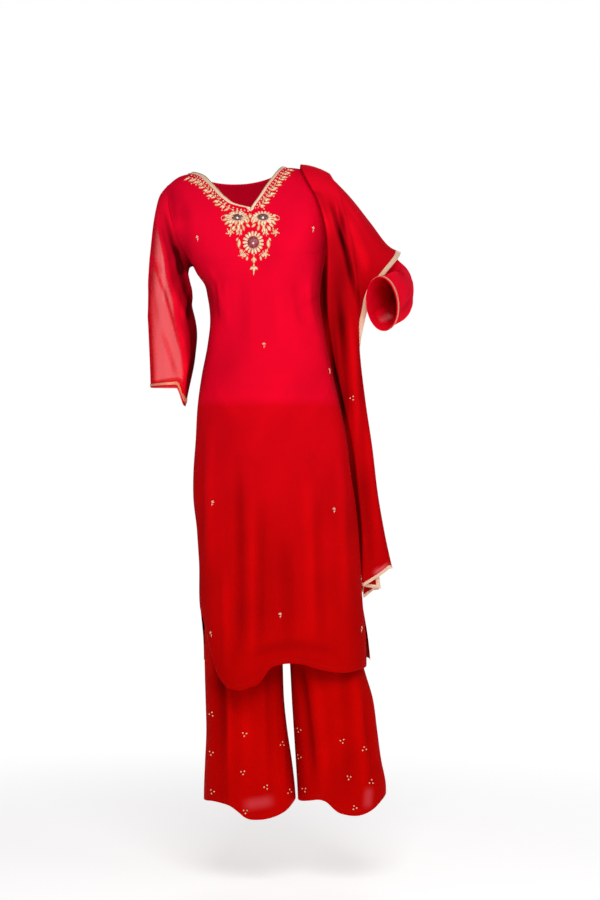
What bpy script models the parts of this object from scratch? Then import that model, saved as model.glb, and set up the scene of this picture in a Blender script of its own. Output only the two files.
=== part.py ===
"""Salwar kameez suit: a straight kameez, wide trousers and a dupatta, in the form they keep when worn.

Metres, +Z up, the front faces -Y. The origin is at the height of the shoulders, on the neck's centre.
Every cloth is a skin of four-sided cells through sections worked out from the tables below. A piece is
a wall of even thickness on its own cells, so two pieces that share a seam meet along the same line.
"""
import bpy
import numpy as np
from mathutils import Vector
from mathutils.bvhtree import BVHTree

# ---------------------------------------------------------------- driving sizes
WALL = 0.0012            # thickness of the cloth
RIBBON = 0.0018          # thickness of a gold ribbon sewn to an edge
SEAM = 0.0007            # space left between two pieces at a seam
LIFT = 0.0004            # space between a panel and a trim that lies on it
TRIM = 0.0009            # thickness of a trim that lies on a panel
BORDER_ACROSS = (0.0135, 0.0096)        # the neck border's width, level across its left and right side
QUARTER = 0.5 * np.pi                   # the angle at each side seam, from 0 at the front's or back's middle

KAMEEZ_RED = (0.80, 0.002, 0.02)
SLEEVE_RED = (0.72, 0.004, 0.02)
TROUSER_RED = (0.46, 0.001, 0.002)
SHAWL_RED = (0.40, 0.001, 0.003)
GOLD = (0.86, 0.56, 0.26)

# ---------------------------------------------------------------- kameez
UNDERARM_LEFT = (-0.1120, -0.199)       # x, z where side seam and armhole meet
UNDERARM_RIGHT = (0.1635, -0.176)
SLIT_TOP = -0.905                       # the side seams are open below this height
LEVEL_FLAT = -0.45                      # from here down the rows of cells run level
ARM_DEPTH = 0.055                       # half the depth of an armhole
NECK_LOW = 0.50                         # height of the V's point, from 0 underarm to 1 shoulder

# height, left edge, right edge, depth in front of the side seams, depth behind them
BODY = np.array([
    (-0.170, -0.1150, 0.1640, 0.122, 0.098),
    (-0.190, -0.1130, 0.1610, 0.124, 0.098),
    (-0.215, -0.1035, 0.1560, 0.124, 0.096),
    (-0.240, -0.0870, 0.1525, 0.119, 0.094),
    (-0.265, -0.0810, 0.1510, 0.112, 0.091),
    (-0.315, -0.0755, 0.1570, 0.104, 0.088),
    (-0.364, -0.0810, 0.1655, 0.103, 0.090),
    (-0.426, -0.0930, 0.1780, 0.108, 0.099),
    (-0.489, -0.1015, 0.1925, 0.113, 0.111),
    (-0.559, -0.1055, 0.2070, 0.118, 0.123),
    (-0.629, -0.1100, 0.2145, 0.121, 0.130),
    (-0.683, -0.1100, 0.2235, 0.122, 0.131),
    (-0.745, -0.1025, 0.2300, 0.123, 0.130),
    (-0.807, -0.0980, 0.2340, 0.125, 0.129),
    (-0.890, -0.0970, 0.2380, 0.130, 0.133),
    (-0.973, -0.0890, 0.2460, 0.134, 0.137),
    (-1.076, -0.0870, 0.2475, 0.137, 0.140),
])
# across from the left, height of the shoulder line
SHOULDER = np.array([
    (-0.1635, -0.0330), (-0.1450, -0.0180), (-0.1130, -0.0072), (0.0755, 0.0045),
    (0.1110, 0.0010), (0.1500, -0.0120), (0.1820, -0.0370),
])
# height from 0 underarm to 1 shoulder, left armhole, right armhole
ARMHOLE = np.array([
    (0.00, -0.1120, 0.1635), (0.20, -0.1320, 0.1690), (0.50, -0.1520, 0.1750),
    (0.80, -0.1610, 0.1795), (1.00, -0.1635, 0.1820),
])
# height from 0 underarm to 1 shoulder, left edge of the V, right edge of the V
NECK = np.array([
    (0.500, 0.0110, 0.0110), (0.535, -0.0140, 0.0155), (0.620, -0.0390, 0.0269),
    (0.730, -0.0575, 0.0395), (0.820, -0.0720, 0.0512), (0.915, -0.0880, 0.0630),
    (1.000, -0.1130, 0.0755),
])
# across from the left at the hem, height of the front hem
FRONT_HEM = np.array([
    (-0.0360, -1.0570), (-0.0110, -1.0610), (0.0135, -1.0526), (0.0336, -1.0345), (0.0497, -1.0184),
    (0.0698, -1.0114), (0.1100, -1.0104), (0.1502, -1.0214), (0.2000, -1.0295), (0.2465, -1.0250),
])
# height, left edge of the front below the slit, where its rounded corner swings in, and that edge's
# depth in front of the side seams, where it hangs clear of the trousers
FRONT_CORNER = np.array([
    (-0.905, -0.0960, 0.000), (-0.941, -0.0850, 0.032), (-0.981, -0.0752, 0.066), (-1.013, -0.0646, 0.086),
    (-1.040, -0.0519, 0.101), (-1.057, -0.0360, 0.110),
])
BACK_HEM = -1.014
BACK_WIDER = (0.001, 0.008)            # how far the back's hem stands out past the front's, left and right
BACK_NECK_DROP = 0.030                  # how far the back neck dips below the shoulders
BUST_POWER = 0.92                       # cosine's power round a row: 1 is an oval, less is boxier
HEM_POWER = 0.72                        # the same at the hem
SHOULDER_TURN = np.radians(52.0)        # how much less than a quarter the rows turn at the shoulder line
SHOULDER_CURVE = (1.9, 2.3)             # power of the curve up over the chest, and up over the back
# place across and width of a soft wave in the front hem, and how far it stands out
HEM_WAVES = ((-0.020, 0.045, 0.018), (0.090, 0.050, -0.010))
FRONT_COLUMNS = 16
BACK_COLUMNS = 14

# rows of cells, from 0 underarm to 1 shoulder; the row under the V's point is one border wide
ARM_ROWS = np.array([0.0, 0.05, 0.174, 0.342, 0.4575, 0.5, 0.643, 0.766, 0.866, 0.940, 0.985, 1.0])
BODY_ROWS = np.array([-0.905, -0.830, -0.755, -0.680, -0.610, -0.540, -0.470, -0.400, -0.345, -0.300,
                      -0.262, -0.233, -0.210])
HEM_STEPS = np.array([1.0, 0.84, 0.60, 0.30])     # rows between the hem, 1, and the slit's top, 0


def through(table, column, at):
    """A smooth curve through one column of a table against its first: cubic pieces whose slope at each
    row is the mean of the slopes beside it, held level beyond the ends."""
    order = np.argsort(table[:, 0])
    x, y = table[order, 0], table[order, column]
    at = np.clip(at, x[0], x[-1])
    slope = np.gradient(y, x)
    i = np.clip(np.searchsorted(x, at, side="right") - 1, 0, len(x) - 2)
    width = x[i + 1] - x[i]
    t = (at - x[i]) / width
    return ((2 * t**3 - 3 * t**2 + 1) * y[i] + (t**3 - 2 * t**2 + t) * width * slope[i]
            + (3 * t**2 - 2 * t**3) * y[i + 1] + (t**3 - t**2) * width * slope[i + 1])


def ease(x):
    """0 up to x = 0, 1 from x = 1, and a smooth step between."""
    x = np.clip(x, 0.0, 1.0)
    return x * x * (3.0 - 2.0 * x)


# ---------------------------------------------------------------- skins and walls
class Skin:
    """Points and four-sided cells of one cloth; each cell has the name of the piece it belongs to."""

    def __init__(self):
        self.points = []
        self.cells = []
        self.pieces = []
        self.count = 0

    def grid(self, piece, rows):
        """Adds a sheet of cells through rows of points. It faces the side from which the rows go up and
        the points in a row go from left to right. Returns the cells' numbers, row by row."""
        rows = np.asarray(rows)
        height, width = rows.shape[:2]
        number = self.count + np.arange(height * width).reshape(height, width)
        cells = np.stack([number[:-1, :-1], number[:-1, 1:], number[1:, 1:], number[1:, :-1]], axis=-1)
        first = sum(len(c) for c in self.cells)
        self.points.append(rows.reshape(-1, 3))
        self.cells.append(cells.reshape(-1, 4))
        self.pieces += [piece] * (height - 1) * (width - 1)
        self.count += height * width
        return first + np.arange((height - 1) * (width - 1)).reshape(height - 1, width - 1)

    def close(self):
        """Merges points that lie together, and works out the normal at each point."""
        points = np.concatenate(self.points)
        keys = np.round(points / 2e-5).astype(np.int64)
        _, first, merged = np.unique(keys, axis=0, return_index=True, return_inverse=True)
        self.at = points[first]
        self.quads = merged.reshape(-1)[np.concatenate(self.cells)]
        self.pieces = np.array(self.pieces)
        corner = self.at[self.quads]
        face = np.cross(corner[:, 2] - corner[:, 0], corner[:, 3] - corner[:, 1])
        normal = np.zeros_like(self.at)
        for k in range(4):
            np.add.at(normal, self.quads[:, k], face)
        self.normal = normal / np.linalg.norm(normal, axis=1)[:, None]

    def wall(self, cells, low, high, back=SEAM / 2):
        """A closed shell on some of the cells, from `low` to `high` along the normals. Its rim is
        drawn back along the cloth, so that pieces with a common seam stay apart."""
        quads = self.quads[cells]
        edges = np.concatenate([quads[:, [k, (k + 1) % 4]] for k in range(4)])
        owner = np.tile(np.arange(len(quads)), 4)
        keep = edges[:, 0] != edges[:, 1]
        edges, owner = edges[keep], owner[keep]
        key = np.sort(edges, axis=1)
        _, where, times = np.unique(key, axis=0, return_inverse=True, return_counts=True)
        rim = times[where.reshape(-1)] == 1
        edges, owner = edges[rim], owner[rim]

        moved = self.at.copy()
        middle = self.at[quads].mean(axis=1)[owner]
        along = self.at[edges[:, 1]] - self.at[edges[:, 0]]
        along /= np.linalg.norm(along, axis=1)[:, None]
        inward = middle - self.at[edges[:, 0]]
        inward -= (inward * along).sum(axis=1)[:, None] * along
        inward /= np.linalg.norm(inward, axis=1)[:, None]
        pull = np.zeros_like(self.at)
        for k in range(2):
            np.add.at(pull, edges[:, k], inward)
        size = np.linalg.norm(pull, axis=1)
        drawn = size > 1e-6
        # two inward directions of length 1 add up to 2 cos(a); dividing by cos(a) keeps the mitre even
        pull[drawn] *= (2.0 * back / np.maximum(size[drawn], 1.0) ** 2)[:, None]
        moved += pull

        used, local = np.unique(quads, return_inverse=True)
        local = local.reshape(quads.shape)
        lookup = np.zeros(len(self.at), int)
        lookup[used] = np.arange(len(used))
        n = len(used)
        base, normal = moved[used], self.normal[used]
        verts = np.concatenate([base + high * normal, base + low * normal])
        outer = local
        inner = local[:, [0, 3, 2, 1]] + n
        a, b = lookup[edges[:, 0]], lookup[edges[:, 1]]
        side = np.stack([b, a, a + n, b + n], axis=1)
        return verts, np.concatenate([outer, inner, side])


def solid(name, shell, colour, roughness=0.7, metallic=0.0):
    """One named object from a shell's points and faces, with a material of its own."""
    verts, faces = shell
    tidy = [list(dict.fromkeys(int(v) for v in face)) for face in faces]
    mesh = bpy.data.meshes.new(name)
    mesh.from_pydata([tuple(v) for v in verts], [], [face for face in tidy if len(face) > 2])
    mesh.shade_smooth()
    thing = bpy.data.objects.new(name, mesh)
    bpy.context.scene.collection.objects.link(thing)
    material = bpy.data.materials.new(name)
    material.use_nodes = True
    shader = material.node_tree.nodes["Principled BSDF"]
    shader.inputs["Base Color"].default_value = (*colour, 1.0)
    shader.inputs["Roughness"].default_value = roughness
    shader.inputs["Metallic"].default_value = metallic
    mesh.materials.append(material)
    return thing




# ---------------------------------------------------------------- kameez body
def underarm_line(x):
    """Height of the line between the two underarms."""
    (xa, za), (xb, zb) = UNDERARM_LEFT, UNDERARM_RIGHT
    return za + (zb - za) * (x - xa) / (xb - xa)


def fullness(level):
    """Power of the cosine round a row: nearly an oval at the bust, and boxier down towards the hem."""
    return BUST_POWER + (HEM_POWER - BUST_POWER) * ease((-0.50 - level) / 0.40)


def low_row(level, columns, facing, centre=0.0):
    """A row of points round the front (facing -1) or back (+1), from side seam to side seam, below the
    underarms. Each row is half a flattened ring, and it tilts near the underarms as they do."""
    (xa, za), (xb, zb) = UNDERARM_LEFT, UNDERARM_RIGHT
    middle_x = 0.5 * (xa + xb)
    top = 0.5 * (za + zb)
    fade = ease((level - LEVEL_FLAT) / (top - LEVEL_FLAT))
    tilt = (zb - za) / (xb - xa) * fade
    left = through(BODY, 1, level + tilt * (xa - middle_x))
    right = through(BODY, 2, level + tilt * (xb - middle_x))
    angle = split_angles(-QUARTER, centre * QUARTER, QUARTER, columns)
    x = 0.5 * (left + right) + 0.5 * (right - left) * np.sin(angle)
    depth = through(BODY, 3 if facing < 0 else 4, level)
    y = facing * depth * np.cos(angle) ** fullness(level)
    z = level + tilt * (x - middle_x)
    return np.stack([x, y, z], axis=1)


def split_angles(low, middle, high, columns):
    """Even steps from low to middle in half of the columns, and from middle to high in the rest."""
    half = columns // 2
    return np.concatenate([np.linspace(low, middle, half + 1), np.linspace(middle, high, half + 1)[1:]])


def arm_frame(h, facing):
    """What fixes the row at height h above the underarms: its ends, how far it turns, and its depths."""
    left, right = through(ARMHOLE, 1, h), through(ARMHOLE, 2, h)
    turn = QUARTER - SHOULDER_TURN * h ** 0.8
    half = 0.5 * (right - left) / np.sin(turn)
    edge = ARM_DEPTH * 2.0 * np.sqrt(max(h * (1.0 - h), 0.0))
    full = through(BODY, 3 if facing < 0 else 4, 0.5 * (UNDERARM_LEFT[1] + UNDERARM_RIGHT[1]))
    power = SHOULDER_CURVE[0 if facing < 0 else 1]
    deep = full * (1.0 - h ** power) ** (1.0 / power)
    return 0.5 * (left + right), half, turn, edge, max(deep, edge)


def arm_points(h, angle, facing):
    """Points of the row at height h above the underarms, at angles round the body. Depth runs from the
    armhole's at the ends to the body's in the middle, and fades to nothing at the shoulder line."""
    middle, half, turn, edge, deep = arm_frame(h, facing)
    x = middle + half * np.sin(angle)
    bulge = (np.cos(angle) - np.cos(turn)) / (1.0 - np.cos(turn))
    y = facing * (edge + (deep - edge) * bulge)
    shoulder = through(SHOULDER, 1, x)
    z = underarm_line(x) + (shoulder - underarm_line(x)) * h
    return np.stack([x, y, z], axis=1)


def angle_of(h, x, facing):
    """The angle round the body of a place across it, in the row at height h."""
    middle, half, turn, _, _ = arm_frame(h, facing)
    return np.arcsin(np.clip((x - middle) / half, -1.0, 1.0))


def front_rows(columns=FRONT_COLUMNS):
    """Rows of the front from hem to underarm, then the halves left and right of the V. The columns
    beside the V are one border wide."""
    half = columns // 2
    v_angle = angle_of(NECK_LOW, through(NECK, 1, NECK_LOW), -1) / QUARTER
    low = [front_skirt(step, columns) for step in HEM_STEPS]
    low += [low_row(level, columns, -1, v_angle * ease((level + 0.40) / 0.20)) for level in BODY_ROWS]
    left, right = [], []
    for h in ARM_ROWS:
        _, radius, turn, _, _ = arm_frame(h, -1)
        neck = [angle_of(h, through(NECK, side, max(h, NECK_LOW)), -1) for side in (1, 2)]
        share = ease((h - 0.05) / 0.40)
        a = beside_neck(-turn, neck[0], half, BORDER_ACROSS[0] / radius / np.cos(neck[0]), share)
        b = beside_neck(turn, neck[1], half, BORDER_ACROSS[1] / radius / np.cos(neck[1]), share)[::-1]
        if h < NECK_LOW - 1e-9:
            low.append(arm_points(h, np.concatenate([a, b[1:]]), -1))
        else:
            left.append(arm_points(h, a, -1))
            right.append(arm_points(h, b, -1))
    return low, left, right


def beside_neck(outer, neck, half, border, share):
    """Steps from the armhole to the neck: even where share is 0, and the last one `border` wide at 1."""
    even = np.linspace(outer, neck, half + 1)
    fitted = np.append(np.linspace(outer, neck + np.sign(outer - neck) * border, half), neck)
    return even + (fitted - even) * share


def front_skirt(step, columns):
    """A row of the front below the side slits: step 0 is level with their top and step 1 is the hem.
    Height depends on the place across and the place on height, so both are found in a few rounds."""
    angle = split_angles(-QUARTER, 0.0, QUARTER, columns)
    share = 0.5 * (1.0 + np.sin(angle))
    left, right = through(BODY, 1, SLIT_TOP), through(BODY, 2, SLIT_TOP)
    x = left + (right - left) * share
    for _ in range(3):
        hem = through(FRONT_HEM, 1, x)
        z = SLIT_TOP + (hem - SLIT_TOP) * step
        left_edge = through(FRONT_CORNER, 1, z)
        right_edge = through(BODY, 2, z)
        x = left_edge + (right_edge - left_edge) * share
    depth = through(BODY, 3, z)
    edge = np.where(angle < 0.0, through(FRONT_CORNER, 2, z), 0.0)
    y = -edge - (depth - edge) * np.cos(angle) ** fullness(SLIT_TOP)
    for place, width, out in HEM_WAVES:
        y -= out * step * np.exp(-((x - place) / width) ** 2)
    return np.stack([x, y, z], axis=1)


def back_rows(columns=BACK_COLUMNS):
    """Rows of the back from hem to shoulder. Between the neck points the upper rows dip to the neck."""
    rows = []
    angle = split_angles(-QUARTER, 0.0, QUARTER, columns)
    for step in HEM_STEPS:
        z = SLIT_TOP + (BACK_HEM - SLIT_TOP) * step
        left = through(BODY, 1, z) - BACK_WIDER[0] * step
        right = through(BODY, 2, z) + BACK_WIDER[1] * step
        x = 0.5 * (left + right) + 0.5 * (right - left) * np.sin(angle)
        y = through(BODY, 4, z) * np.cos(angle) ** fullness(SLIT_TOP)
        rows.append(np.stack([x, y, np.full_like(x, z)], axis=1))
    rows += [low_row(level, columns, 1) for level in BODY_ROWS]
    neck_left, neck_right = NECK[-1, 1], NECK[-1, 2]
    side = 3
    for h in ARM_ROWS:
        _, _, turn, _, _ = arm_frame(h, 1)
        ends = [angle_of(h, x, 1) for x in (neck_left, neck_right)]
        even = np.linspace(-turn, turn, columns + 1)
        fitted = np.concatenate([
            np.linspace(-turn, ends[0], side + 1),
            np.linspace(ends[0], ends[1], columns - 2 * side + 1)[1:-1],
            np.linspace(ends[1], turn, side + 1),
        ])
        share = ease(h / 0.7)
        angle = even + (fitted - even) * share
        points = arm_points(h, angle, 1)
        across = (points[:, 0] - neck_left) / (neck_right - neck_left)
        inside = np.clip(4.0 * across * (1.0 - across), 0.0, 1.0) ** 0.6
        dip = BACK_NECK_DROP / abs(UNDERARM_LEFT[1]) * inside * ease((h - 0.3) / 0.7)
        lowered = np.array([arm_points(h - d, np.array([a]), 1)[0] for d, a in zip(dip, angle)])
        rows.append(lowered)
    return [row[::-1] for row in rows]


# ---------------------------------------------------------------- sleeves
# outer line across and height, inner line across and height, half the depth, centre's depth
HANGING = np.array([
    (0.0, -0.1635, -0.033, -0.1120, -0.199, 0.055, 0.000),
    (1.0, -0.1800, -0.055, -0.1180, -0.2025, 0.056, 0.000),
    (2.0, -0.1890, -0.088, -0.1200, -0.2090, 0.056, 0.000),
    (3.0, -0.1955, -0.130, -0.1205, -0.2200, 0.055, 0.000),
    (4.0, -0.2000, -0.178, -0.1170, -0.240, 0.053, 0.001),
    (5.0, -0.2035, -0.240, -0.1130, -0.280, 0.050, 0.000),
    (6.0, -0.2039, -0.310, -0.1040, -0.330, 0.047, -0.004),
    (7.0, -0.2010, -0.370, -0.1055, -0.385, 0.044, -0.010),
    (8.0, -0.1985, -0.425, -0.1165, -0.442, 0.041, -0.014),
    (9.0, -0.1977, -0.448, -0.1265, -0.490, 0.040, -0.016),
])
# centre across, in depth and height, half height, half width
BENT = np.array([
    (0.0, 0.1728, 0.000, -0.1065, 0.070, 0.055),
    (1.0, 0.2080, 0.016, -0.1350, 0.056, 0.052),
    (2.0, 0.2410, 0.042, -0.1650, 0.047, 0.045),
    (3.0, 0.2730, 0.066, -0.1950, 0.041, 0.037),
    (4.0, 0.3020, 0.076, -0.2170, 0.037, 0.029),
    (5.0, 0.3195, 0.061, -0.2350, 0.038, 0.025),
    (6.0, 0.3205, 0.026, -0.2500, 0.043, 0.025),
    (7.0, 0.3085, -0.018, -0.2630, 0.049, 0.0285),
    (8.0, 0.2915, -0.060, -0.2745, 0.053, 0.032),
    (9.0, 0.2745, -0.099, -0.2850, 0.055, 0.033),
])
SLEEVE_ROWS = np.array([0.0, 0.7, 1.5, 2.3, 3.1, 3.9, 4.7, 5.5, 6.2, 6.9, 7.6, 8.2])
CUFF_TRIM = (0.0045, 0.0105)            # the gold line lies between these distances from the edge


def armhole(side, facing):
    """The armhole's points, from the underarm up to the shoulder."""
    out = []
    for h in ARM_ROWS:
        _, _, turn, _, _ = arm_frame(h, facing)
        out.append(arm_points(h, np.array([turn * side]), facing)[0])
    return np.array(out)


def armhole_ring(side):
    """The whole armhole: down the back from the shoulder, and up the front, and its angles."""
    back, front = armhole(side, 1), armhole(side, -1)
    ring = np.concatenate([back[::-1], front[1:]])
    down = np.arccos(2.0 * ARM_ROWS[::-1] - 1.0)
    angle = np.concatenate([down, 2.0 * np.pi - down[::-1][1:]])
    return ring, angle


def stations(last_row):
    """Places of a sleeve's rows, down to the cuff, with rows on both edges of its trim. last_row is the
    length of sleeve between the table's last two rows."""
    return np.concatenate([SLEEVE_ROWS, 9.0 - np.array([CUFF_TRIM[1], CUFF_TRIM[0], 0.0]) / last_row])


def hanging_sleeve():
    """Rings between the outer and inner lines of the table, each half as deep as it says. The first
    follows the armhole, and what sets it apart from its own ellipse fades out down the sleeve."""
    ring, angle = armhole_ring(-1)
    places = stations(0.032)
    rows = []
    for q in places:
        ox, oz, ix, iz, deep, shift = (through(HANGING, c, q) for c in range(1, 7))
        middle = np.array([(ox + ix) / 2, shift, (oz + iz) / 2])
        reach = np.array([(ox - ix) / 2, 0.0, (oz - iz) / 2])
        oval = middle + np.cos(angle)[:, None] * reach + np.sin(angle)[:, None] * np.array([0.0, deep, 0.0])
        rows.append(oval)
    apart = ring - rows[0]
    for k, q in enumerate(places):
        rows[k] = rows[k] + apart * (1.0 - ease(q / 3.0))
    return [row[::-1] for row in rows][::-1]


def bent_sleeve():
    """Rings square to the table's centre line, each turned no more than the line turns, so that their
    columns run straight down the sleeve round the elbow."""
    ring, angle = armhole_ring(1)
    places = stations(0.047)
    centre = np.stack([through(BENT, c, places) for c in (1, 2, 3)], axis=1)
    step = np.stack([through(BENT, c, places + 1.0) - through(BENT, c, places - 1.0) for c in (1, 2, 3)],
                    axis=1)
    step /= np.linalg.norm(step, axis=1)[:, None]
    upright = (1.0 - ease(places / 4.0))[:, None]
    step = step + (np.array([1.0, 0.0, 0.0]) - step) * upright
    step /= np.linalg.norm(step, axis=1)[:, None]
    top = np.array([0.0, 0.0, 1.0])
    rows = []
    for k, q in enumerate(places):
        along = step[k]
        top = top - (top @ along) * along
        top /= np.linalg.norm(top)
        back = np.cross(top, along)
        up = np.array([0.0, 0.0, 1.0]) - along[2] * along
        up /= np.linalg.norm(up)
        wide = np.cross(up, along)
        tall_half, wide_half = through(BENT, 4, q), through(BENT, 5, q)
        way = np.cos(angle)[:, None] * top + np.sin(angle)[:, None] * back
        oval = (way @ up)[:, None] * tall_half * up + (way @ wide)[:, None] * wide_half * wide
        rows.append(centre[k] + oval)
    apart = ring - rows[0]
    for k, q in enumerate(places):
        rows[k] = rows[k] + apart * (1.0 - ease(q / 3.0))
    return rows[::-1]


# ---------------------------------------------------------------- trousers
WAIST_TOP = -0.482
WAIST_DEEP = 0.024                      # height of the waistband
CROTCH = -0.700
# height, left leg's outer and inner line, right leg's inner and outer line, depth in front and behind
LEGS = np.array([
    (-0.482, -0.0860, 0.0460, 0.0460, 0.1780, 0.097, 0.096),
    (-0.560, -0.0930, 0.0500, 0.0500, 0.1935, 0.102, 0.106),
    (-0.630, -0.0975, 0.0545, 0.0545, 0.2015, 0.102, 0.111),
    (-0.700, -0.0975, 0.0585, 0.0585, 0.2120, 0.096, 0.104),
    (-0.740, -0.0920, 0.0560, 0.0670, 0.2170, 0.093, 0.098),
    (-0.820, -0.0880, 0.0610, 0.0760, 0.2230, 0.089, 0.091),
    (-0.920, -0.0870, 0.0695, 0.0815, 0.2300, 0.087, 0.087),
    (-1.022, -0.0870, 0.0740, 0.0895, 0.2400, 0.086, 0.086),
    (-1.097, -0.0850, 0.0768, 0.0935, 0.2610, 0.087, 0.087),
    (-1.160, -0.0835, 0.0835, 0.0975, 0.2695, 0.089, 0.090),
    (-1.222, -0.0860, 0.0928, 0.1015, 0.2780, 0.092, 0.093),
    (-1.270, -0.0880, 0.0985, 0.1045, 0.2872, 0.094, 0.094),
    (-1.335, -0.0890, 0.1030, 0.1075, 0.2840, 0.096, 0.095),
])
# height, place across of the seam that joins the legs above the crotch
CENTRE_SEAM = np.array([(-0.482, 0.0460), (-0.560, 0.0500), (-0.630, 0.0545), (-0.700, 0.0585)])
# across, from the outer line 0 to the inner line 1: height of the left leg's front hem
LEFT_HEM = np.array([
    (0.00, -1.3000), (0.10, -1.2950), (0.22, -1.2975), (0.30, -1.3025), (0.38, -1.3135), (0.45, -1.3250),
    (0.62, -1.3300), (0.72, -1.3268), (0.82, -1.3205), (0.92, -1.3110), (1.00, -1.2990),
])
RIGHT_HEM = np.array([
    (0.00, -1.2880), (0.06, -1.2960), (0.14, -1.3085), (0.26, -1.3195), (0.45, -1.3205), (0.56, -1.3140),
    (0.62, -1.3050), (0.67, -1.2960), (0.74, -1.2905), (0.86, -1.2930), (1.00, -1.3010),
])
BACK_LEG_HEM = -1.305
LEG_ROWS = np.array([-1.235, -1.165, -1.09, -1.00, -0.90, -0.82, -0.76, -0.725, -0.700, -0.672,
                     -0.640, -0.600, -0.555, -0.506])
LEG_HEM_STEPS = np.array([1.0, 0.85, 0.5])        # rows between the hem, 1, and the lowest level row, 0
LEG_COLUMNS = 10
LEG_WAVE = 0.010                        # how far the flared legs wave in and out, three half waves across


def leg_row(z, side, facing, columns):
    """A row of one leg's front or back from its outer seam to its inner one. Above the crotch it is a
    quarter of the hips' ring, and below it half of the leg's own; one turns into the other."""
    outer, inner = (1, 2) if side < 0 else (4, 3)
    out = through(LEGS, outer, z)
    inside = np.where(z < CROTCH, through(LEGS, inner, z), through(CENTRE_SEAM, 1, z))
    depth = through(LEGS, 5 if facing < 0 else 6, z)
    turn = np.linspace(0.0, np.pi, columns + 1)
    own = ease((CROTCH + 0.15 - z) / 0.15)
    pointed = ease(1.0 - np.abs(z - CROTCH) / 0.13)
    inward = 0.5 * (1.0 - np.cos(turn))
    inward += (np.maximum(turn / np.pi, 0.5) - np.maximum(inward, 0.5)) * pointed
    own_x = out + (inside - out) * inward
    own_y = depth * np.sin(turn) ** 0.9
    ring_x = out + (inside - out) * (1.0 - np.cos(0.5 * turn))
    ring_y = depth * np.sin(0.5 * turn)
    x = ring_x + (own_x - ring_x) * own
    y = facing * (ring_y + (own_y - ring_y) * own)
    return x, y, turn


def leg_panel(side, facing, columns=LEG_COLUMNS):
    """Rows of a leg's front or back from the hem to the waistband, from the left as seen from outside."""
    rows = []
    hem_table = LEFT_HEM if side < 0 else RIGHT_HEM
    share = 0.5 * (1.0 - np.cos(np.linspace(0.0, np.pi, columns + 1)))
    for step in LEG_HEM_STEPS:
        if facing < 0:
            hem = through(hem_table, 1, share)
        else:
            ends = through(hem_table, 1, np.array([0.0, 1.0]))
            straight = ends[0] + (ends[1] - ends[0]) * share
            hem = straight + (BACK_LEG_HEM - straight) * np.sin(np.pi * share) ** 0.5
        z = LEG_ROWS[0] + (hem - LEG_ROWS[0]) * step
        x, y, turn = leg_row(z, side, facing, columns)
        y += facing * LEG_WAVE * step * np.sin(3.0 * turn) * np.sin(turn)
        rows.append(np.stack([x, y, z], axis=1))
    for z in LEG_ROWS:
        x, y, turn = leg_row(np.full(columns + 1, z), side, facing, columns)
        flare = ease((-0.95 - z) / 0.35)
        y += facing * LEG_WAVE * flare * np.sin(3.0 * turn) * np.sin(turn)
        rows.append(np.stack([x, y, np.full_like(x, z)], axis=1))
    return [row[::-1] for row in rows] if side * facing < 0 else rows


def waistband_rows(columns=32):
    """A level band round the waist, above the trousers' panels."""
    rows = []
    for z in (WAIST_TOP - WAIST_DEEP, WAIST_TOP):
        turn = np.linspace(-np.pi, np.pi, columns + 1)
        left, right = through(LEGS, 1, z), through(LEGS, 4, z)
        depth = np.where(np.cos(turn) > 0, through(LEGS, 5, z), through(LEGS, 6, z))
        x = 0.5 * (left + right) + 0.5 * (right - left) * np.sin(turn)
        rows.append(np.stack([x, -depth * np.cos(turn), np.full_like(x, z)], axis=1))
    return rows


# ---------------------------------------------------------------- dupatta
PITCH = (0.0025, 0.0046, 0.0090)        # distance of its folded layers: on the shoulder, below it, low down
TIP = 0.3205                            # how far across its point reaches, past the elbow
SHAWL_BORDER = 0.009                    # width of the gold ribbon at its selvages
END_BORDER = 0.006                      # and at its ends
BACK_END_HIGHER = 0.02                  # how much higher it ends behind than in front
# height, left folds, right fold, outer selvage: across; inmost layer's depth at the left and out there
FRONT_FALL = np.array([
    (0.010, 0.1080, 0.1560, TIP, -0.030, 0.040),
    (-0.030, 0.1240, 0.1800, TIP, -0.060, 0.045),
    (-0.060, 0.1400, 0.1930, TIP, -0.074, 0.040),
    (-0.110, 0.1580, 0.2045, TIP, -0.086, 0.036),
    (-0.165, 0.1660, 0.2190, TIP, -0.088, 0.030),
    (-0.201, 0.1660, 0.2240, 0.2975, -0.080, 0.010),
    (-0.220, 0.1660, 0.2260, 0.2840, -0.075, 0.000),
    (-0.240, 0.1660, 0.2280, 0.2660, -0.070, -0.010),
    (-0.302, 0.1670, 0.2300, 0.2460, -0.052, -0.018),
    (-0.363, 0.1750, 0.2315, 0.2340, -0.036, -0.012),
    (-0.477, 0.1990, 0.2440, 0.2350, -0.014, -0.004),
    (-0.576, 0.2190, 0.2590, 0.2480, 0.000, 0.006),
    (-0.675, 0.2310, 0.2715, 0.2600, 0.014, 0.018),
    (-0.748, 0.2380, 0.2845, 0.2650, 0.024, 0.028),
    (-0.890, 0.2400, 0.3170, 0.2760, 0.040, 0.044),
])
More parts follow.
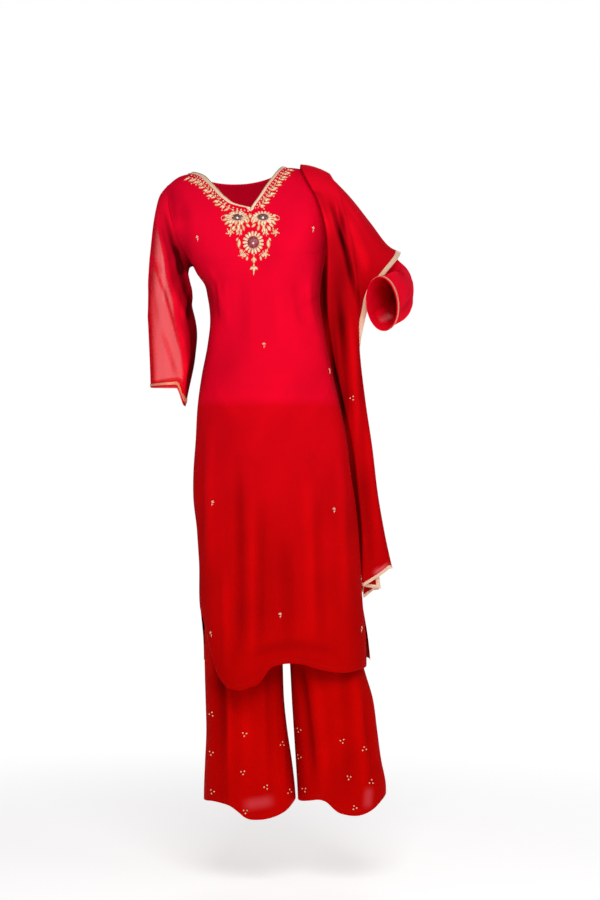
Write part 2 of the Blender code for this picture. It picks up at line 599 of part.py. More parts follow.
BACK_FALL = np.array([
    (0.010, 0.1080, 0.1560, TIP, 0.030, 0.100),
    (-0.030, 0.1100, 0.1780, TIP, 0.062, 0.110),
    (-0.060, 0.1080, 0.1900, TIP, 0.084, 0.118),
    (-0.110, 0.1040, 0.1940, TIP, 0.104, 0.126),
    (-0.165, 0.1020, 0.1960, 0.3160, 0.114, 0.134),
    (-0.210, 0.1020, 0.1970, 0.2900, 0.116, 0.138),
    (-0.250, 0.1020, 0.1980, 0.2640, 0.118, 0.140),
    (-0.310, 0.1030, 0.2000, 0.2410, 0.120, 0.140),
    (-0.363, 0.1050, 0.2020, 0.2350, 0.122, 0.138),
    (-0.477, 0.1100, 0.2080, 0.2400, 0.130, 0.136),
    (-0.630, 0.1160, 0.2160, 0.2560, 0.142, 0.142),
    (-0.890, 0.1240, 0.2320, 0.2680, 0.146, 0.146),
])
# across, height and depth of the line where the inmost layer turns over the shoulder and the arm
RIDGE = np.array([
    (0.1050, 0.0034, 0.000), (0.1300, 0.0000, 0.000), (0.1500, -0.0062, 0.000), (0.1660, -0.0135, 0.001),
    (0.1780, -0.0205, 0.004), (0.1918, -0.0330, 0.010), (0.2140, -0.0553, 0.020),
    (0.2565, -0.1050, 0.045), (0.2980, -0.1540, 0.062), (TIP, -0.1642, 0.070),
])
TURN_DOWN = 0.055                       # height lost while the cloth turns from level to upright
TURN_ANGLES = np.radians([0, 22, 44, 66, 90])
FALL_STEPS = np.array([0.0, 0.03, 0.08, 0.15, 0.24, 0.34, 0.46, 0.60, 0.75, 0.90])


def shawl_columns():
    """The dupatta's cross-section, from its inner selvage to its outer one: four layers laid zigzag, with
    round folds between them. Each row says how much of the left folds', the right fold's and the outer
    selvage's place the column takes, its own shift across, its shift in layer distances, and its height
    in layer distances above the inmost layer; the last is how far down its end hangs."""
    columns = []

    def layer(starts, ends, height, parts, low, high):
        for share in np.linspace(0.0, 1.0, parts + 1):
            mix = [a + (b - a) * share for a, b in zip(starts, ends)]
            columns.append((*mix, height, low + (high - low) * share))

    def fold(side, height, radius, low):
        start, end = (-90.0, 90.0) if side < 0 and height > 2.0 else (90.0, -90.0)
        for turn in np.radians(np.linspace(start, end, 4)[1:-1]):
            left = 1.0 if side < 0 else 0.0
            shift = side * (radius * np.cos(turn) - radius)
            columns.append((left, 1.0 - left, 0.0, 0.0, shift, height + radius * np.sin(turn), low))

    columns.append((0.46, 0.54, 0.0, 0.0, 0.0, 2.0, -0.868))
    layer((0.46, 0.54, 0.0, -SHAWL_BORDER, 0.0), (1.0, 0.0, 0.0, 0.0, 0.5), 2.0, 2, -0.868, -0.864)
    fold(-1, 2.5, 0.5, -0.863)
    layer((1.0, 0.0, 0.0, 0.0, 0.5), (0.0, 1.0, 0.0, 0.0, -1.0), 3.0, 5, -0.862, -0.828)
    fold(1, 2.0, 1.0, -0.826)
    layer((0.0, 1.0, 0.0, 0.0, -1.0), (1.0, 0.0, 0.0, 0.0, 0.5), 1.0, 3, -0.822, -0.864)
    fold(-1, 0.5, 0.5, -0.876)
    layer((1.0, 0.0, 0.0, 0.0, 0.5), (0.0, 0.0, 1.0, -1.3 * SHAWL_BORDER, 0.0), 0.0, 7, -0.889, -0.873)
    columns.append((0.0, 0.0, 1.0, 0.0, 0.0, 0.0, -0.872))
    return np.array(columns)


def shawl_rows(facing):
    """Rows of the dupatta's front or back fall, from its end up to the line where it turns over."""
    table = FRONT_FALL if facing < 0 else BACK_FALL
    columns = shawl_columns()
    left, right, selvage, shift, pitches, height, low = columns.T
    if facing > 0:
        low = low + BACK_END_HIGHER

    def across(z, pitch, edges=table):
        return (left * through(edges, 1, z) + right * through(edges, 2, z) + selvage * through(edges, 3, z)
                + shift + pitches * pitch)

    # both falls start from the same line, at the place across where the front fall meets the ridge
    x = np.full(len(columns), 0.2)
    for _ in range(14):
        ridge = through(RIDGE, 1, x)
        x = 0.5 * x + 0.5 * across(ridge, PITCH[0], FRONT_FALL)
    ridge_y = through(RIDGE, 2, x)

    def depth(z, place):
        share = np.clip((place - through(table, 1, z)) / (TIP - through(table, 1, z)), 0.0, 1.0)
        near, far = through(table, 4, z), through(table, 5, z)
        return near + (far - near) * share ** 1.3

    rows = []
    for turn in TURN_ANGLES:
        z = ridge - TURN_DOWN * (1.0 - np.cos(turn))
        pitch = PITCH[0] + (PITCH[1] - PITCH[0]) * (1.0 - np.cos(turn))
        place = across(z, pitch)
        place = x + (place - x) * np.sin(turn)
        y = ridge_y + (depth(ridge - TURN_DOWN, place) - ridge_y) * np.sin(turn)
        rise = pitch * height
        rows.append(np.stack([place, y + facing * rise * np.sin(turn), z + rise * np.cos(turn)], axis=1))
    start = ridge - TURN_DOWN
    falls = [start + (low - start) * step for step in FALL_STEPS[1:]] + [low + END_BORDER, low]
    for step, z in zip([*FALL_STEPS[1:], 1.0, 1.0], falls):
        pitch = PITCH[1] + (PITCH[2] - PITCH[1]) * ease(step / 0.5)
        place = across(z, pitch)
        y = depth(z, place) + facing * pitch * height
        rows.append(np.stack([place, y, z], axis=1))
    rows = rows[::-1]
    return rows if facing < 0 else [row[::-1] for row in rows]


# ---------------------------------------------------------------- making the pieces
def clear_scene():
    """Removes whatever the file opened with."""
    for thing in list(bpy.data.objects):
        bpy.data.objects.remove(thing, do_unlink=True)


def make_kameez():
    """Front, back, sleeves, and the gold trims on them."""
    skin = Skin()
    low, left, right = front_rows()
    half = FRONT_COLUMNS // 2
    seam_row = np.concatenate([left[0], right[0][1:]])
    body = skin.grid("kameez_front", low + [seam_row])
    upper_left = skin.grid("kameez_front", left)
    upper_right = skin.grid("kameez_front", right)
    back = skin.grid("kameez_back", back_rows())
    hanging = skin.grid("sleeve_right", hanging_sleeve())
    bent = skin.grid("sleeve_left", bent_sleeve())
    skin.close()

    for piece in ("kameez_front", "kameez_back", "sleeve_right", "sleeve_left"):
        cells = np.flatnonzero(skin.pieces == piece)
        colour = SLEEVE_RED if piece.startswith("sleeve") else KAMEEZ_RED
        solid(piece, skin.wall(cells, -WALL / 2, WALL / 2), colour)
    low_trim, high_trim = WALL / 2 + LIFT, WALL / 2 + LIFT + TRIM
    neck = np.concatenate([body[-1, half - 1:half + 1], upper_left[:, -1], upper_right[:, 0]])
    solid("neck_border", skin.wall(neck, low_trim, high_trim), GOLD, 0.4, 0.6)
    solid("cuff_trim_right", skin.wall(hanging[1], low_trim, high_trim), GOLD, 0.4, 0.6)
    solid("cuff_trim_left", skin.wall(bent[1], low_trim, high_trim), GOLD, 0.4, 0.6)
    return skin


def make_trousers():
    """Two legs of a front and a back each, under a waistband."""
    skin = Skin()
    for side, word in ((-1, "right"), (1, "left")):
        for facing, place in ((-1, "front"), (1, "back")):
            skin.grid(f"trouser_{word}_{place}", leg_panel(side, facing))
    band = skin.grid("waistband", waistband_rows())
    skin.close()
    for piece in dict.fromkeys(skin.pieces.tolist()):
        cells = np.flatnonzero(skin.pieces == piece)
        thick = 1.8 * WALL if piece == "waistband" else WALL
        solid(piece, skin.wall(cells, -thick / 2, thick / 2), TROUSER_RED)


def make_dupatta():
    """The front and back falls of the dupatta, and the gold ribbon sewn to its edges."""
    skin = Skin()
    grids = {}
    for facing, word in ((-1, "front"), (1, "back")):
        grids[word] = skin.grid(word, shawl_rows(facing))
    skin.close()
    for word, cells in grids.items():
        cloth = cells[1:, 1:-1].ravel()
        ribbon = np.concatenate([cells[0], cells[1:, 0], cells[1:, -1]])
        solid(f"dupatta_{word}", skin.wall(cloth, -WALL / 2, WALL / 2), SHAWL_RED)
        solid(f"dupatta_ribbon_{word}", skin.wall(ribbon, -RIBBON / 2, RIBBON / 2), GOLD, 0.4, 0.6)


# centre across and height, half width and half height
ROSETTES = {
    "rosette_right": (-0.0160, -0.1115, 0.0205, 0.0120),
    "rosette_left": (0.0350, -0.1115, 0.0200, 0.0120),
    "rosette_low": (0.0157, -0.1605, 0.0210, 0.0225),
}
PETALS = 16
# share of the radius, height above the panel
ROSETTE_FORM = np.array([(0.0, 0.0030), (0.30, 0.0028), (0.48, 0.0016), (0.74, 0.0026), (1.0, 0.0012)])


def make_rosettes(skin):
    """Thick appliques under the V: a domed oval in a ring of petals. Their points are cast onto the
    front's own cells and moved out, so that each lies on the panel all over."""
    cells = np.flatnonzero(skin.pieces == "kameez_front")
    verts, faces = skin.wall(cells, -WALL / 2, WALL / 2)
    panel = BVHTree.FromPolygons([tuple(v) for v in verts], [tuple(int(i) for i in f) for f in faces])
    turn = np.linspace(0.0, 2.0 * np.pi, PETALS, endpoint=False)
    for name, (across, height, half_wide, half_high) in ROSETTES.items():
        sheets = []
        for level in ROSETTE_FORM:
            share, rise = level
            x = across + share * half_wide * np.cos(turn)
            z = height + share * half_high * np.sin(turn)
            top, under = [], []
            for px, pz in zip(x, z):
                hit, normal, _, _ = panel.ray_cast(Vector((px, -1.0, pz)), Vector((0.0, 1.0, 0.0)))
                top.append(hit + normal * (LIFT + rise))
                under.append(hit + normal * LIFT)
            sheets.append((np.array(top), np.array(under)))
        solid(name, rosette_shell(sheets), GOLD, 0.4, 0.6)


def rosette_shell(sheets):
    """Closes a domed disc: top rings, under rings, a middle point for each, and the rim between."""
    count = PETALS
    rings = [top for top, _ in sheets[1:]] + [under for _, under in sheets[:0:-1]]
    verts = np.concatenate([sheets[0][0][:1], *rings, sheets[0][1][:1]])
    last = len(verts) - 1
    faces = []
    for k in range(count):
        after = (k + 1) % count
        faces.append([0, 1 + k, 1 + after])
        for ring in range(len(rings) - 1):
            a, b = 1 + ring * count, 1 + (ring + 1) * count
            faces.append([a + k, b + k, b + after, a + after])
        final = 1 + (len(rings) - 1) * count
        faces.append([final + k, last, final + after])
    return verts, faces


clear_scene()
kameez = make_kameez()
make_rosettes(kameez)
make_trousers()
make_dupatta()
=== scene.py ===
"""Salwar kameez suit in red georgette: the kameez, wide trousers and pleated dupatta as fine cloth, with
the gold border, the bead work under the V neck and the scattered sprigs.

Metres, +Z up, the front faces -Y, and the origin is on the neck's centre at the height of the shoulders.
Each cloth is a surface of two parameters, worked out as whole arrays from the same tables as its solid.
The tables themselves are in millimetres, and the shares in them are in thousandths. Left and right
are as seen from the front, except that the pieces' names have them as the wearer does.
"""

import bmesh
import bpy
import numpy as np
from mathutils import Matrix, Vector
from mathutils.bvhtree import BVHTree
from numpy import clip, concatenate, cos, linspace, maximum, pi, radians, sin, stack, where


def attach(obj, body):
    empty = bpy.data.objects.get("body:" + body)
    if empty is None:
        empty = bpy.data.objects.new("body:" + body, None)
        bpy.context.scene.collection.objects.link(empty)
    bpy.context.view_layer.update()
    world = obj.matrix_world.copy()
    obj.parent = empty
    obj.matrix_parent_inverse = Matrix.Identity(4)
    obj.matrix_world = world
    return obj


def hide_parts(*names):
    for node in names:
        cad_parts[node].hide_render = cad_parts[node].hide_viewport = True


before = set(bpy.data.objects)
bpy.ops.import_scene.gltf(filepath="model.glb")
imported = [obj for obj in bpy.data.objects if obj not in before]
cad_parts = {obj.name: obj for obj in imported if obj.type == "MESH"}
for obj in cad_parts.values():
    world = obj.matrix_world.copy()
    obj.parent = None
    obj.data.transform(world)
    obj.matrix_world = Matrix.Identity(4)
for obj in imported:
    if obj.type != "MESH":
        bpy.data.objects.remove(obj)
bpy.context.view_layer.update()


def placed(name, data):
    """A new object in the scene."""
    thing = bpy.data.objects.new(name, data)
    bpy.context.scene.collection.objects.link(thing)
    return thing


# ---- camera
# The view is level, from 4.2 m in front of the side seams
CAMERA_AT = (0.11, -4.2, -0.58)
SENSOR_HIGH = 24  # in millimetres
FOCAL_SHARE = 2029 / 900  # focal length over the picture's height
FLOOR = -1.475  # where a wearer's feet would stand

lens = bpy.data.cameras.new("camera")
lens.sensor_fit = "VERTICAL"
lens.sensor_height = SENSOR_HIGH
lens.lens = SENSOR_HIGH * FOCAL_SHARE
camera = placed("camera", lens)
camera.location = CAMERA_AT
camera.rotation_euler = (pi / 2, 0, 0)
bpy.context.scene.camera = camera
bpy.context.scene.view_settings.view_transform = "Standard"

# ---- sizes
QUARTER = 0.5 * pi
CLOTH = 0.0008  # thickness of the georgette with its lining
RIBBON = 0.0009  # thickness of the ribbons on the kameez
SWELL = 0.0012  # height of the cloth's slow swells
LEFT_X, LEFT_Z = -0.112, -0.199  # across and height where the left side seam and armhole meet
RIGHT_X, RIGHT_Z = 0.1635, -0.176  # and the right ones
SLIT_TOP = -0.905  # the side seams are open below this height
LEVEL_FLAT = -0.45  # the body's rows are level below this height
ARM_DEPTH = 0.055  # the armholes bulge this far to the front and the back
NECK_LOW = 0.5  # the V's point, from 0 at the underarms to 1 at the shoulders
BUST_POWER, HEM_POWER = 0.92, 0.72  # powers of the cosine round the body
SHOULDER_TURN = radians(52)  # how much less than a quarter turn the shoulder row's ends are from its middle
SHOULDER_CURVE = {-1: 1.9, 1: 2.3}  # how roundly the front and the back close towards the shoulders
HEM_WAVES = ((-0.02, 0.045, 0.018), (0.09, 0.05, -0.01))  # place across, half width and depth
BACK_HEM = -1.014  # height of the back's level hem
BACK_WIDER = (0.001, 0.008)  # how much wider the back hem is at the left and the right
BACK_NECK_DROP = 0.03  # how far the back dips to the neck
DEPTH = {-1: 3, 1: 4}  # BODY's column for the front's and the back's depth


def mm(*rows):
    """A table from rows in millimetres."""
    return np.array(rows) / 1000


def numbered(*rows):
    """The same with each row's number before it."""
    return np.column_stack([np.arange(len(rows)), mm(*rows)])


def marks(*rows):
    """Places: across and height in millimetres, a turn in degrees, and sizes in millimetres."""
    return np.array(rows) / (1000, 1000, 1, 1000, 1000)[:len(rows[0])]


# height, left edge, right edge, depth in front of the side seams, depth behind them
BODY = mm(
    (-170, -115, 164, 122, 98), (-190, -113, 161, 124, 98), (-215, -103.5, 156, 124, 96),
    (-240, -87, 152.5, 119, 94), (-265, -81, 151, 112, 91), (-315, -75.5, 157, 104, 88),
    (-364, -81, 165.5, 103, 90), (-426, -93, 178, 108, 99), (-489, -101.5, 192.5, 113, 111),
    (-559, -105.5, 207, 118, 123), (-629, -110, 214.5, 121, 130), (-683, -110, 223.5, 122, 131),
    (-745, -102.5, 230, 123, 130), (-807, -98, 234.5, 125, 129), (-890, -97, 238.8, 130, 133),
    (-973, -89, 246, 134, 137), (-1076, -87, 247.5, 137, 140))
# across from the left, height of the shoulder line
SHOULDER = mm((-163.5, -33), (-145, -18), (-113, -7.2), (75.5, 4.5), (111, 1), (150, -12), (182, -37))
# height from 0 underarm to 1 shoulder, left armhole, right armhole
ARMHOLE = mm((0, -112, 163.5), (200, -132, 169), (500, -152, 175), (800, -161, 179.5), (1000, -163.5, 182))
# height from 0 underarm to 1 shoulder, left edge of the V, right edge of the V
NECK = mm(
    (500, 11, 11), (535, -14, 15.5), (620, -39, 26.9), (730, -57.5, 39.5), (820, -72, 51.2), (915, -88, 63),
    (1000, -113, 75.5))
# across from the left at the hem, height of the front hem
FRONT_HEM = mm(
    (-36, -1057), (-11, -1061), (13.5, -1052.6), (33.6, -1034.5), (49.7, -1018.4), (69.8, -1011.4),
    (110, -1010.4), (150.2, -1021.4), (200, -1029.5), (246.5, -1025))
# height, left edge of the front below the slit, and that edge's depth in front of the side seams
FRONT_CORNER = mm(
    (-905, -96, 0), (-941, -85, 32), (-981, -75.2, 66), (-1013, -64.6, 86), (-1040, -51.9, 101),
    (-1057, -36, 110))


def through(table, column, at):
    """A smooth curve through one column of a table against its first: cubic pieces whose slope at each
    row is the mean of the slopes beside it, held level beyond the ends."""
    order = np.argsort(table[:, 0])
    x, y = table[order, 0], table[order, column]
    at = clip(at, x[0], x[-1])
    slope = np.gradient(y, x)
    i = clip(np.searchsorted(x, at, side="right") - 1, 0, len(x) - 2)
    width = x[i + 1] - x[i]
    t = (at - x[i]) / width
    return ((2 * t**3 - 3 * t**2 + 1) * y[i] + (t**3 - 2 * t**2 + t) * width * slope[i]
            + (3 * t**2 - 2 * t**3) * y[i + 1] + (t**3 - t**2) * width * slope[i + 1])


def ease(x):
    """0 up to x = 0, 1 from x = 1, and a smooth step between."""
    x = clip(x, 0, 1)
    return x * x * (3 - 2 * x)


def unit(vectors):
    """The vectors at length 1."""
    return vectors / maximum(np.linalg.norm(vectors, axis=-1, keepdims=True), 1e-12)


def points(x, y, z):
    """Points from their coordinates."""
    return stack(np.broadcast_arrays(x, y, z), axis=-1)


def lengths_down(grid):
    """How far along its columns each row of a grid is from the first."""
    return concatenate([[0], np.cumsum(np.linalg.norm(np.diff(grid, axis=0), axis=-1).mean(axis=1))])


def whole_turn(count):
    """Angles once round."""
    return linspace(0, 2 * pi, count, endpoint=False)


# ---- cloth
def creases(table, across, along):
    """How far the cloth stands out at each place. Each row of the table is one soft ridge, or a trough if
    its depth is negative: it runs from one place to another with a bow, its section is (1 - d^2)^2 over
    its half width, and it fades out over a third of its length at each end."""
    out = np.zeros(np.shape(across))
    for xa, za, xb, zb, bow, wide, depth in table:
        length = np.hypot(xb - xa, zb - za)
        ex, ez = (xb - xa) / length, (zb - za) / length
        t = ((across - xa) * ex + (along - za) * ez) / length
        beside = (across - xa) * -ez + (along - za) * ex - 4 * bow * t * (1 - t)
        section = clip(1 - (beside / wide) ** 2, 0, 1) ** 2
        out += depth * section * ease(t / 0.33) * ease((1 - t) / 0.33)
    return out


SWELL_WAYS = [(1, 0.4, 0.25, 0.3), (-0.7, 0.8, 0.4, 1.9), (0.5, -1.1, 0.15, 4.1), (1.3, 0.2, -0.55, 2.6),
              (-0.9, -0.5, 0.7, 5.2)]


def unevenness(x, y, z, wave, size=SWELL):
    """Slow swells of hung cloth: waves of about `wave` in five directions added up, `size` high."""
    total = 0
    for k, (a, b, c, phase) in enumerate(SWELL_WAYS):
        total = total + sin((a * x + b * y + c * z) * 2 * pi / wave * (1 + 0.17 * k) + phase)
    return size * total / 3


class Cloth:
    """Grids of points, joined where their edges meet, as one sheet with its own unrolled lengths. A grid
    faces the side from which its rows go up and its columns go right."""

    def __init__(self, *grids):
        at, quads, uv, count = [], [], [], 0
        for grid in grids:
            rows, columns = grid.shape[:2]
            number = count + np.arange(rows * columns).reshape(rows, columns)
            corners = [number[:-1, :-1], number[:-1, 1:], number[1:, 1:], number[1:, :-1]]
            quads.append(stack(corners, axis=-1).reshape(-1, 4))
            at.append(grid.reshape(-1, 3))
            u = np.cumsum(np.linalg.norm(np.diff(grid, axis=1), axis=-1), axis=1)
            u = concatenate([np.zeros((rows, 1)), u], axis=1)
            u -= u[:, columns // 2][:, None]
            v = lengths_down(grid)
            uv.append(stack(np.broadcast_arrays(u, (v - v[-1])[:, None]), axis=-1).reshape(-1, 2))
            count += rows * columns
        at, self.loose, self.uv = concatenate(at), concatenate(quads), concatenate(uv)
        _, first, merged = np.unique(np.round(at / 2e-5).astype(np.int64), axis=0,
                                     return_index=True, return_inverse=True)
        self.at, self.cells, self.given = at[first], merged.reshape(-1)[self.loose], {}
        self.normal = np.zeros_like(self.at)
        self.lift(0)

    def lift(self, height):
        """Moves every point out along its normal, and works out the normals from the cells round it."""
        self.at = self.at + self.normal * np.reshape(height, (-1, 1))
        corner = self.at[self.cells]
        face = np.cross(corner[:, 2] - corner[:, 0], corner[:, 3] - corner[:, 1])
        self.normal = np.zeros_like(self.at)
        for k in range(4):
            np.add.at(self.normal, self.cells[:, k], face)
        self.normal = unit(self.normal)
        return self

    def gather(self, values):
        """Values at the grids' points, taken over to the joined points."""
        order = np.unique(self.cells, return_index=True)[1]
        out = np.zeros(len(self.at))
        out[self.cells.ravel()[order]] = values[self.loose.ravel()[order]]
        return out

    def faces(self):
        """The cells without repeated points."""
        short = [list(dict.fromkeys(cell)) for cell in self.cells.tolist()]
        return [cell for cell in short if len(cell) > 2]

    def piece(self, name, material, slot, nodes, thick=CLOTH):
        """The finished object, a closed shell of even thickness."""
        mesh = bpy.data.meshes.new(name)
        mesh.from_pydata(self.at.tolist(), [], self.faces())
        corners = []
        for cell, loose in zip(self.cells.tolist(), self.loose.tolist()):
            seen = dict(zip(cell[::-1], loose[::-1]))
            corners += [seen[v] for v in dict.fromkeys(cell)] if len(seen) > 2 else []
        mesh.uv_layers.new(name="unrolled").data.foreach_set("uv", self.uv[corners].ravel())
        for word in ("fold", "thin"):
            values = np.broadcast_to(self.given.get(word, 0), len(self.at)).astype(np.float32)
            mesh.attributes.new(word, "FLOAT", "POINT").data.foreach_set("value", values)
        thing = finish_piece(mesh, name, material, nodes)
        wall = thing.modifiers.new("wall", "SOLIDIFY")
        wall.thickness, wall.offset = thick, 0
        return thing


def finish_piece(mesh, name, material, nodes=()):
    """Shades a mesh smooth, gives it its material and puts it on the frame in place of the nodes."""
    mesh.shade_smooth()
    mesh.materials.append(material)
    thing = placed(name, mesh)
    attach(thing, "root")
    if nodes:
        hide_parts(*nodes)
    return thing


# ---- materials
def colour(code):
    """A linear colour from its sRGB code."""
    parts = np.array([int(code[k:k + 2], 16) for k in (0, 2, 4)]) / 255
    linear = where(parts <= 0.04045, parts / 12.92, ((parts + 0.055) / 1.055) ** 2.4)
    return (*linear.tolist(), 1)


def feed(source, socket):
    """Links a socket, or a node's first output, to another node's socket."""
    out = source if isinstance(source, bpy.types.NodeSocket) else source.outputs[0]
    socket.id_data.links.new(out, socket)


def node(tree, kind, settings=None, **links):
    """Adds a node. Settings are its properties or the values of its sockets; links feed its sockets,
    whose names are written with _ for a space, or in_0 for the first."""
    made = tree.nodes.new("ShaderNode" + kind)
    for key, value in (settings or {}).items():
        if isinstance(key, str) and key in made.bl_rna.properties:
            setattr(made, key, value)
        else:
            made.inputs[key].default_value = value
    for key, source in links.items():
        feed(source, made.inputs[int(key[3:]) if key.startswith("in_") else key.replace("_", " ")])
    return made


def ramp(tree, factor, stops):
    """A colour ramp through (place, sRGB code) stops."""
    made = node(tree, "ValToRGB", in_0=factor)
    elements = made.color_ramp.elements
    while len(elements) < len(stops):
        elements.new(0.5)
    for element, (place, code) in zip(elements, stops):
        element.position, element.color = place, colour(code)
    return made


def bare(name, settings):
    """A material with its shader's constant settings, its node tree, its shader and its coordinates."""
    made = bpy.data.materials.new(name)
    made.use_nodes = True
    shader = made.node_tree.nodes["Principled BSDF"]
    for key, value in settings.items():
        shader.inputs[key].default_value = value
    return made, made.node_tree, shader, node(made.node_tree, "TexCoord").outputs


def raised(tree, shader, height, strength, distance=0.0004, **settings):
    """Raises the surface by a height, as bump."""
    bump = node(tree, "Bump", {"Strength": strength, "Distance": distance, **settings}, Height=height)
    feed(bump, shader.inputs["Normal"])


def bands(tree, place, way, pitch, distortion):
    """Bands a pitch apart, as fine rows of threads; a wave's scale is 0.314 over its pitch."""
    settings = {"bands_direction": way, "Scale": 0.314 / pitch, "Distortion": distortion}
    return node(tree, "TexWave", settings, Vector=place).outputs["Fac"]


def georgette(name, stops, low, high, strength, sheer=False):
    """Polyester georgette, a plain weave of hard-twisted yarns. The twist makes the surface finely
    pebbled and dull. Its colour changes with height between `low` and `high`: painted light and shade,
    on the kameez, the sleeves and the dupatta brighter towards the lamps above, and on the kameez also the
    trousers showing through below the waist. It is broken by slow patches. Through `fold` it is painted
    darker in the troughs of folds and lighter on their ridges, as painted shade and highlight, and darker
    still where the shade tables mark it. `thin` marks places that light comes through: they are paler, or
    see-through if the cloth is sheer. The yarns, 0.35 mm apart in the real cloth, are drawn 0.9 mm apart
    so that they show."""
    made, tree, shader, place = bare(name, {
        "Roughness": 0.85, "Specular IOR Level": 0.015, "Sheen Weight": 0.02, "Sheen Roughness": 0.5,
        "Sheen Tint": colour("E01030")})
    parts = node(tree, "SeparateXYZ", in_0=place["Object"])
    # colour by height: painted light and shade from the lamps above, and on the kameez also the trousers
    # showing through below the waist
    height = node(tree, "MapRange", {"From Min": low, "From Max": high}, Value=parts.outputs["Z"])
    patches = node(tree, "TexNoise", {"Scale": 9, "Detail": 3}, Vector=place["Object"])
    mottled = node(tree, "MapRange", {"From Min": 0.3, "From Max": 0.7, "To Min": 0.9, "To Max": 1.06},
                   Value=patches)
    fold, thin = (node(tree, "Attribute", {"attribute_name": word}).outputs["Fac"]
                  for word in ("fold", "thin"))
    # painted shade and highlight: darker in the troughs of folds and where the shade tables mark it, lighter
    # on the ridges
    deep = node(tree, "MapRange", {"From Min": -0.92 / strength, "From Max": 0.28 / strength,
                                   "To Min": 0.08, "To Max": 1.28}, Value=fold)
    both = node(tree, "Math", {"operation": "MULTIPLY"}, in_0=mottled, in_1=deep)
    tinted = node(tree, "VectorMath", {"operation": "SCALE"}, in_0=ramp(tree, height, stops), Scale=both)
    if sheer:
        feed(tinted, shader.inputs["Base Color"])
        clear = node(tree, "BsdfTransparent", {"Color": colour(SHEER_TINT)})
        share = node(tree, "Math", {"operation": "MULTIPLY", 1: SHEER_SHARE}, in_0=thin)
        mixed = node(tree, "MixShader", in_0=share, in_1=shader, in_2=clear)
        feed(mixed, tree.nodes["Material Output"].inputs["Surface"])
    else:
        paler = node(tree, "Mix", {"data_type": "RGBA", 7: colour(THIN_COLOUR)}, in_0=thin, in_6=tinted)
        feed(paler.outputs[2], shader.inputs["Base Color"])
    # crepe pebbling of about 1.2 mm over crossing yarns
    pebbles = node(tree, "TexNoise", {"Scale": 800, "Detail": 2}, Vector=place["Object"])
    warp, weft = (bands(tree, place["UV"], way, 0.0009, 0.6) for way in "XY")
    yarns = node(tree, "Math", {"operation": "MAXIMUM"}, in_0=warp, in_1=weft)
    relief = node(tree, "Math", {"operation": "MULTIPLY_ADD", 1: 0.5}, in_0=yarns, in_2=pebbles)
    raised(tree, shader, relief, 0.35)
    return made


SHEER_TINT = "FFD2D4"  # what one wall of the sheer cloth lets through
SHEER_SHARE = 0.9  # how much of it is open, where it is thinnest
THIN_COLOUR = "F0606A"  # the lined cloth where light comes through it
# the last number is how much a fold 1 m deep would darken the cloth, as painted shade. The trousers show
# through below the waist, so the kameez turns deeper there, and it also darkens slowly from the chest to
# the hem as painted shade, away from the lamp above. The sleeves and the dupatta are painted brighter
# towards the top as painted light, and the trousers are a little darker towards the top
KAMEEZ = georgette("georgette_kameez", [(0, "B60201"), (0.3, "C20307"), (0.535, "D00312"), (0.552, "E20424"),
                                        (1, "E4042C")], -1.06, 0, 34)
SLEEVE = georgette("georgette_sheer", [(0, "E4061E"), (1, "F00830")], -0.5, 0, 70, sheer=True)
TROUSER = georgette("georgette_trousers", [(0, "C40301"), (1, "BC0301")], -1.34, -0.5, 34)
SHAWL = georgette("georgette_dupatta", [(0, "B80205"), (0.66, "B4020A"), (0.8, "CC0415"), (1, "DC0622")],
                  -0.9, 0, 72)


def zari_ribbon(name, stops):
    """Zari ribbon, a flat braid of gilt threads: satin metal, with threads laid in a fine slant that
    shows as light and dark ticks 2.4 mm apart. The ticks are raised, and are also painted into its colour,
    from painted shade to painted highlight."""
    made, tree, shader, place = bare(name, {"Metallic": 0.2, "Roughness": 0.45, "Sheen Weight": 0.2,
                                            "Sheen Tint": colour("FFE8D0")})
    slant = node(tree, "Mapping", {"Rotation": (0, 0, 0.9)}, in_0=place["UV"])
    ticks = bands(tree, slant, "X", 0.0024, 1.2)
    feed(ramp(tree, ticks, stops), shader.inputs["Base Color"])
    raised(tree, shader, ticks, 0.5)
    return made


def zari_thread():
    """Zari embroidery thread, couched in close rows: pale gilt with a soft shine, its rows 0.8 mm apart.
    Its colour runs from a painted brown shade to a painted highlight over the rows, broken by a change of
    tone from place to place.
    """
    made, tree, shader, place = bare("zari_thread", {"Metallic": 0.35, "Roughness": 0.4})
    rows = bands(tree, place["Object"], "DIAGONAL", 0.0008, 1)
    tone = node(tree, "TexNoise", {"Scale": 160}, Vector=place["Object"])
    both = node(tree, "Math", {"operation": "MULTIPLY_ADD", 1: 0.35}, in_0=rows, in_2=tone)
    feed(ramp(tree, both, [(0.22, "B8794C"), (0.5, "EFBF92"), (0.9, "FFEBD6")]), shader.inputs["Base Color"])
    raised(tree, shader, rows, 0.6, 0.0003)
    return made


def bead_silk(name, *codes):
    """Floss silk in satin stitch with cut glass beads over it, 1.5 mm across: the floss's colour, broken
    by the glints of the beads."""
    made, tree, shader, place = bare(name, {"Roughness": 0.35, "Specular IOR Level": 0.5})
    beads = node(tree, "TexVoronoi", {"Scale": 560}, Vector=place["Object"]).outputs
    feed(ramp(tree, beads["Color"], list(zip((0, 0.45, 0.75, 1), codes))), shader.inputs["Base Color"])
    raised(tree, shader, beads["Distance"], 0.7, 0.0006, invert=True)
    return made


def plain(name, code, **settings):
    """A small thing of one colour, broken by a faint change of tone from place to place."""
    made, tree, shader, place = bare(name, {key.replace("_", " "): value for key, value in settings.items()})
    tone = node(tree, "TexNoise", {"Scale": 300}, Vector=place["Object"])
    shade = node(tree, "MapRange", {"To Min": 0.85, "To Max": 1.12}, Value=tone)
    tinted = node(tree, "VectorMath", {"operation": "SCALE", 0: colour(code)[:3]}, Scale=shade)
    feed(tinted, shader.inputs["Base Color"])
    return made


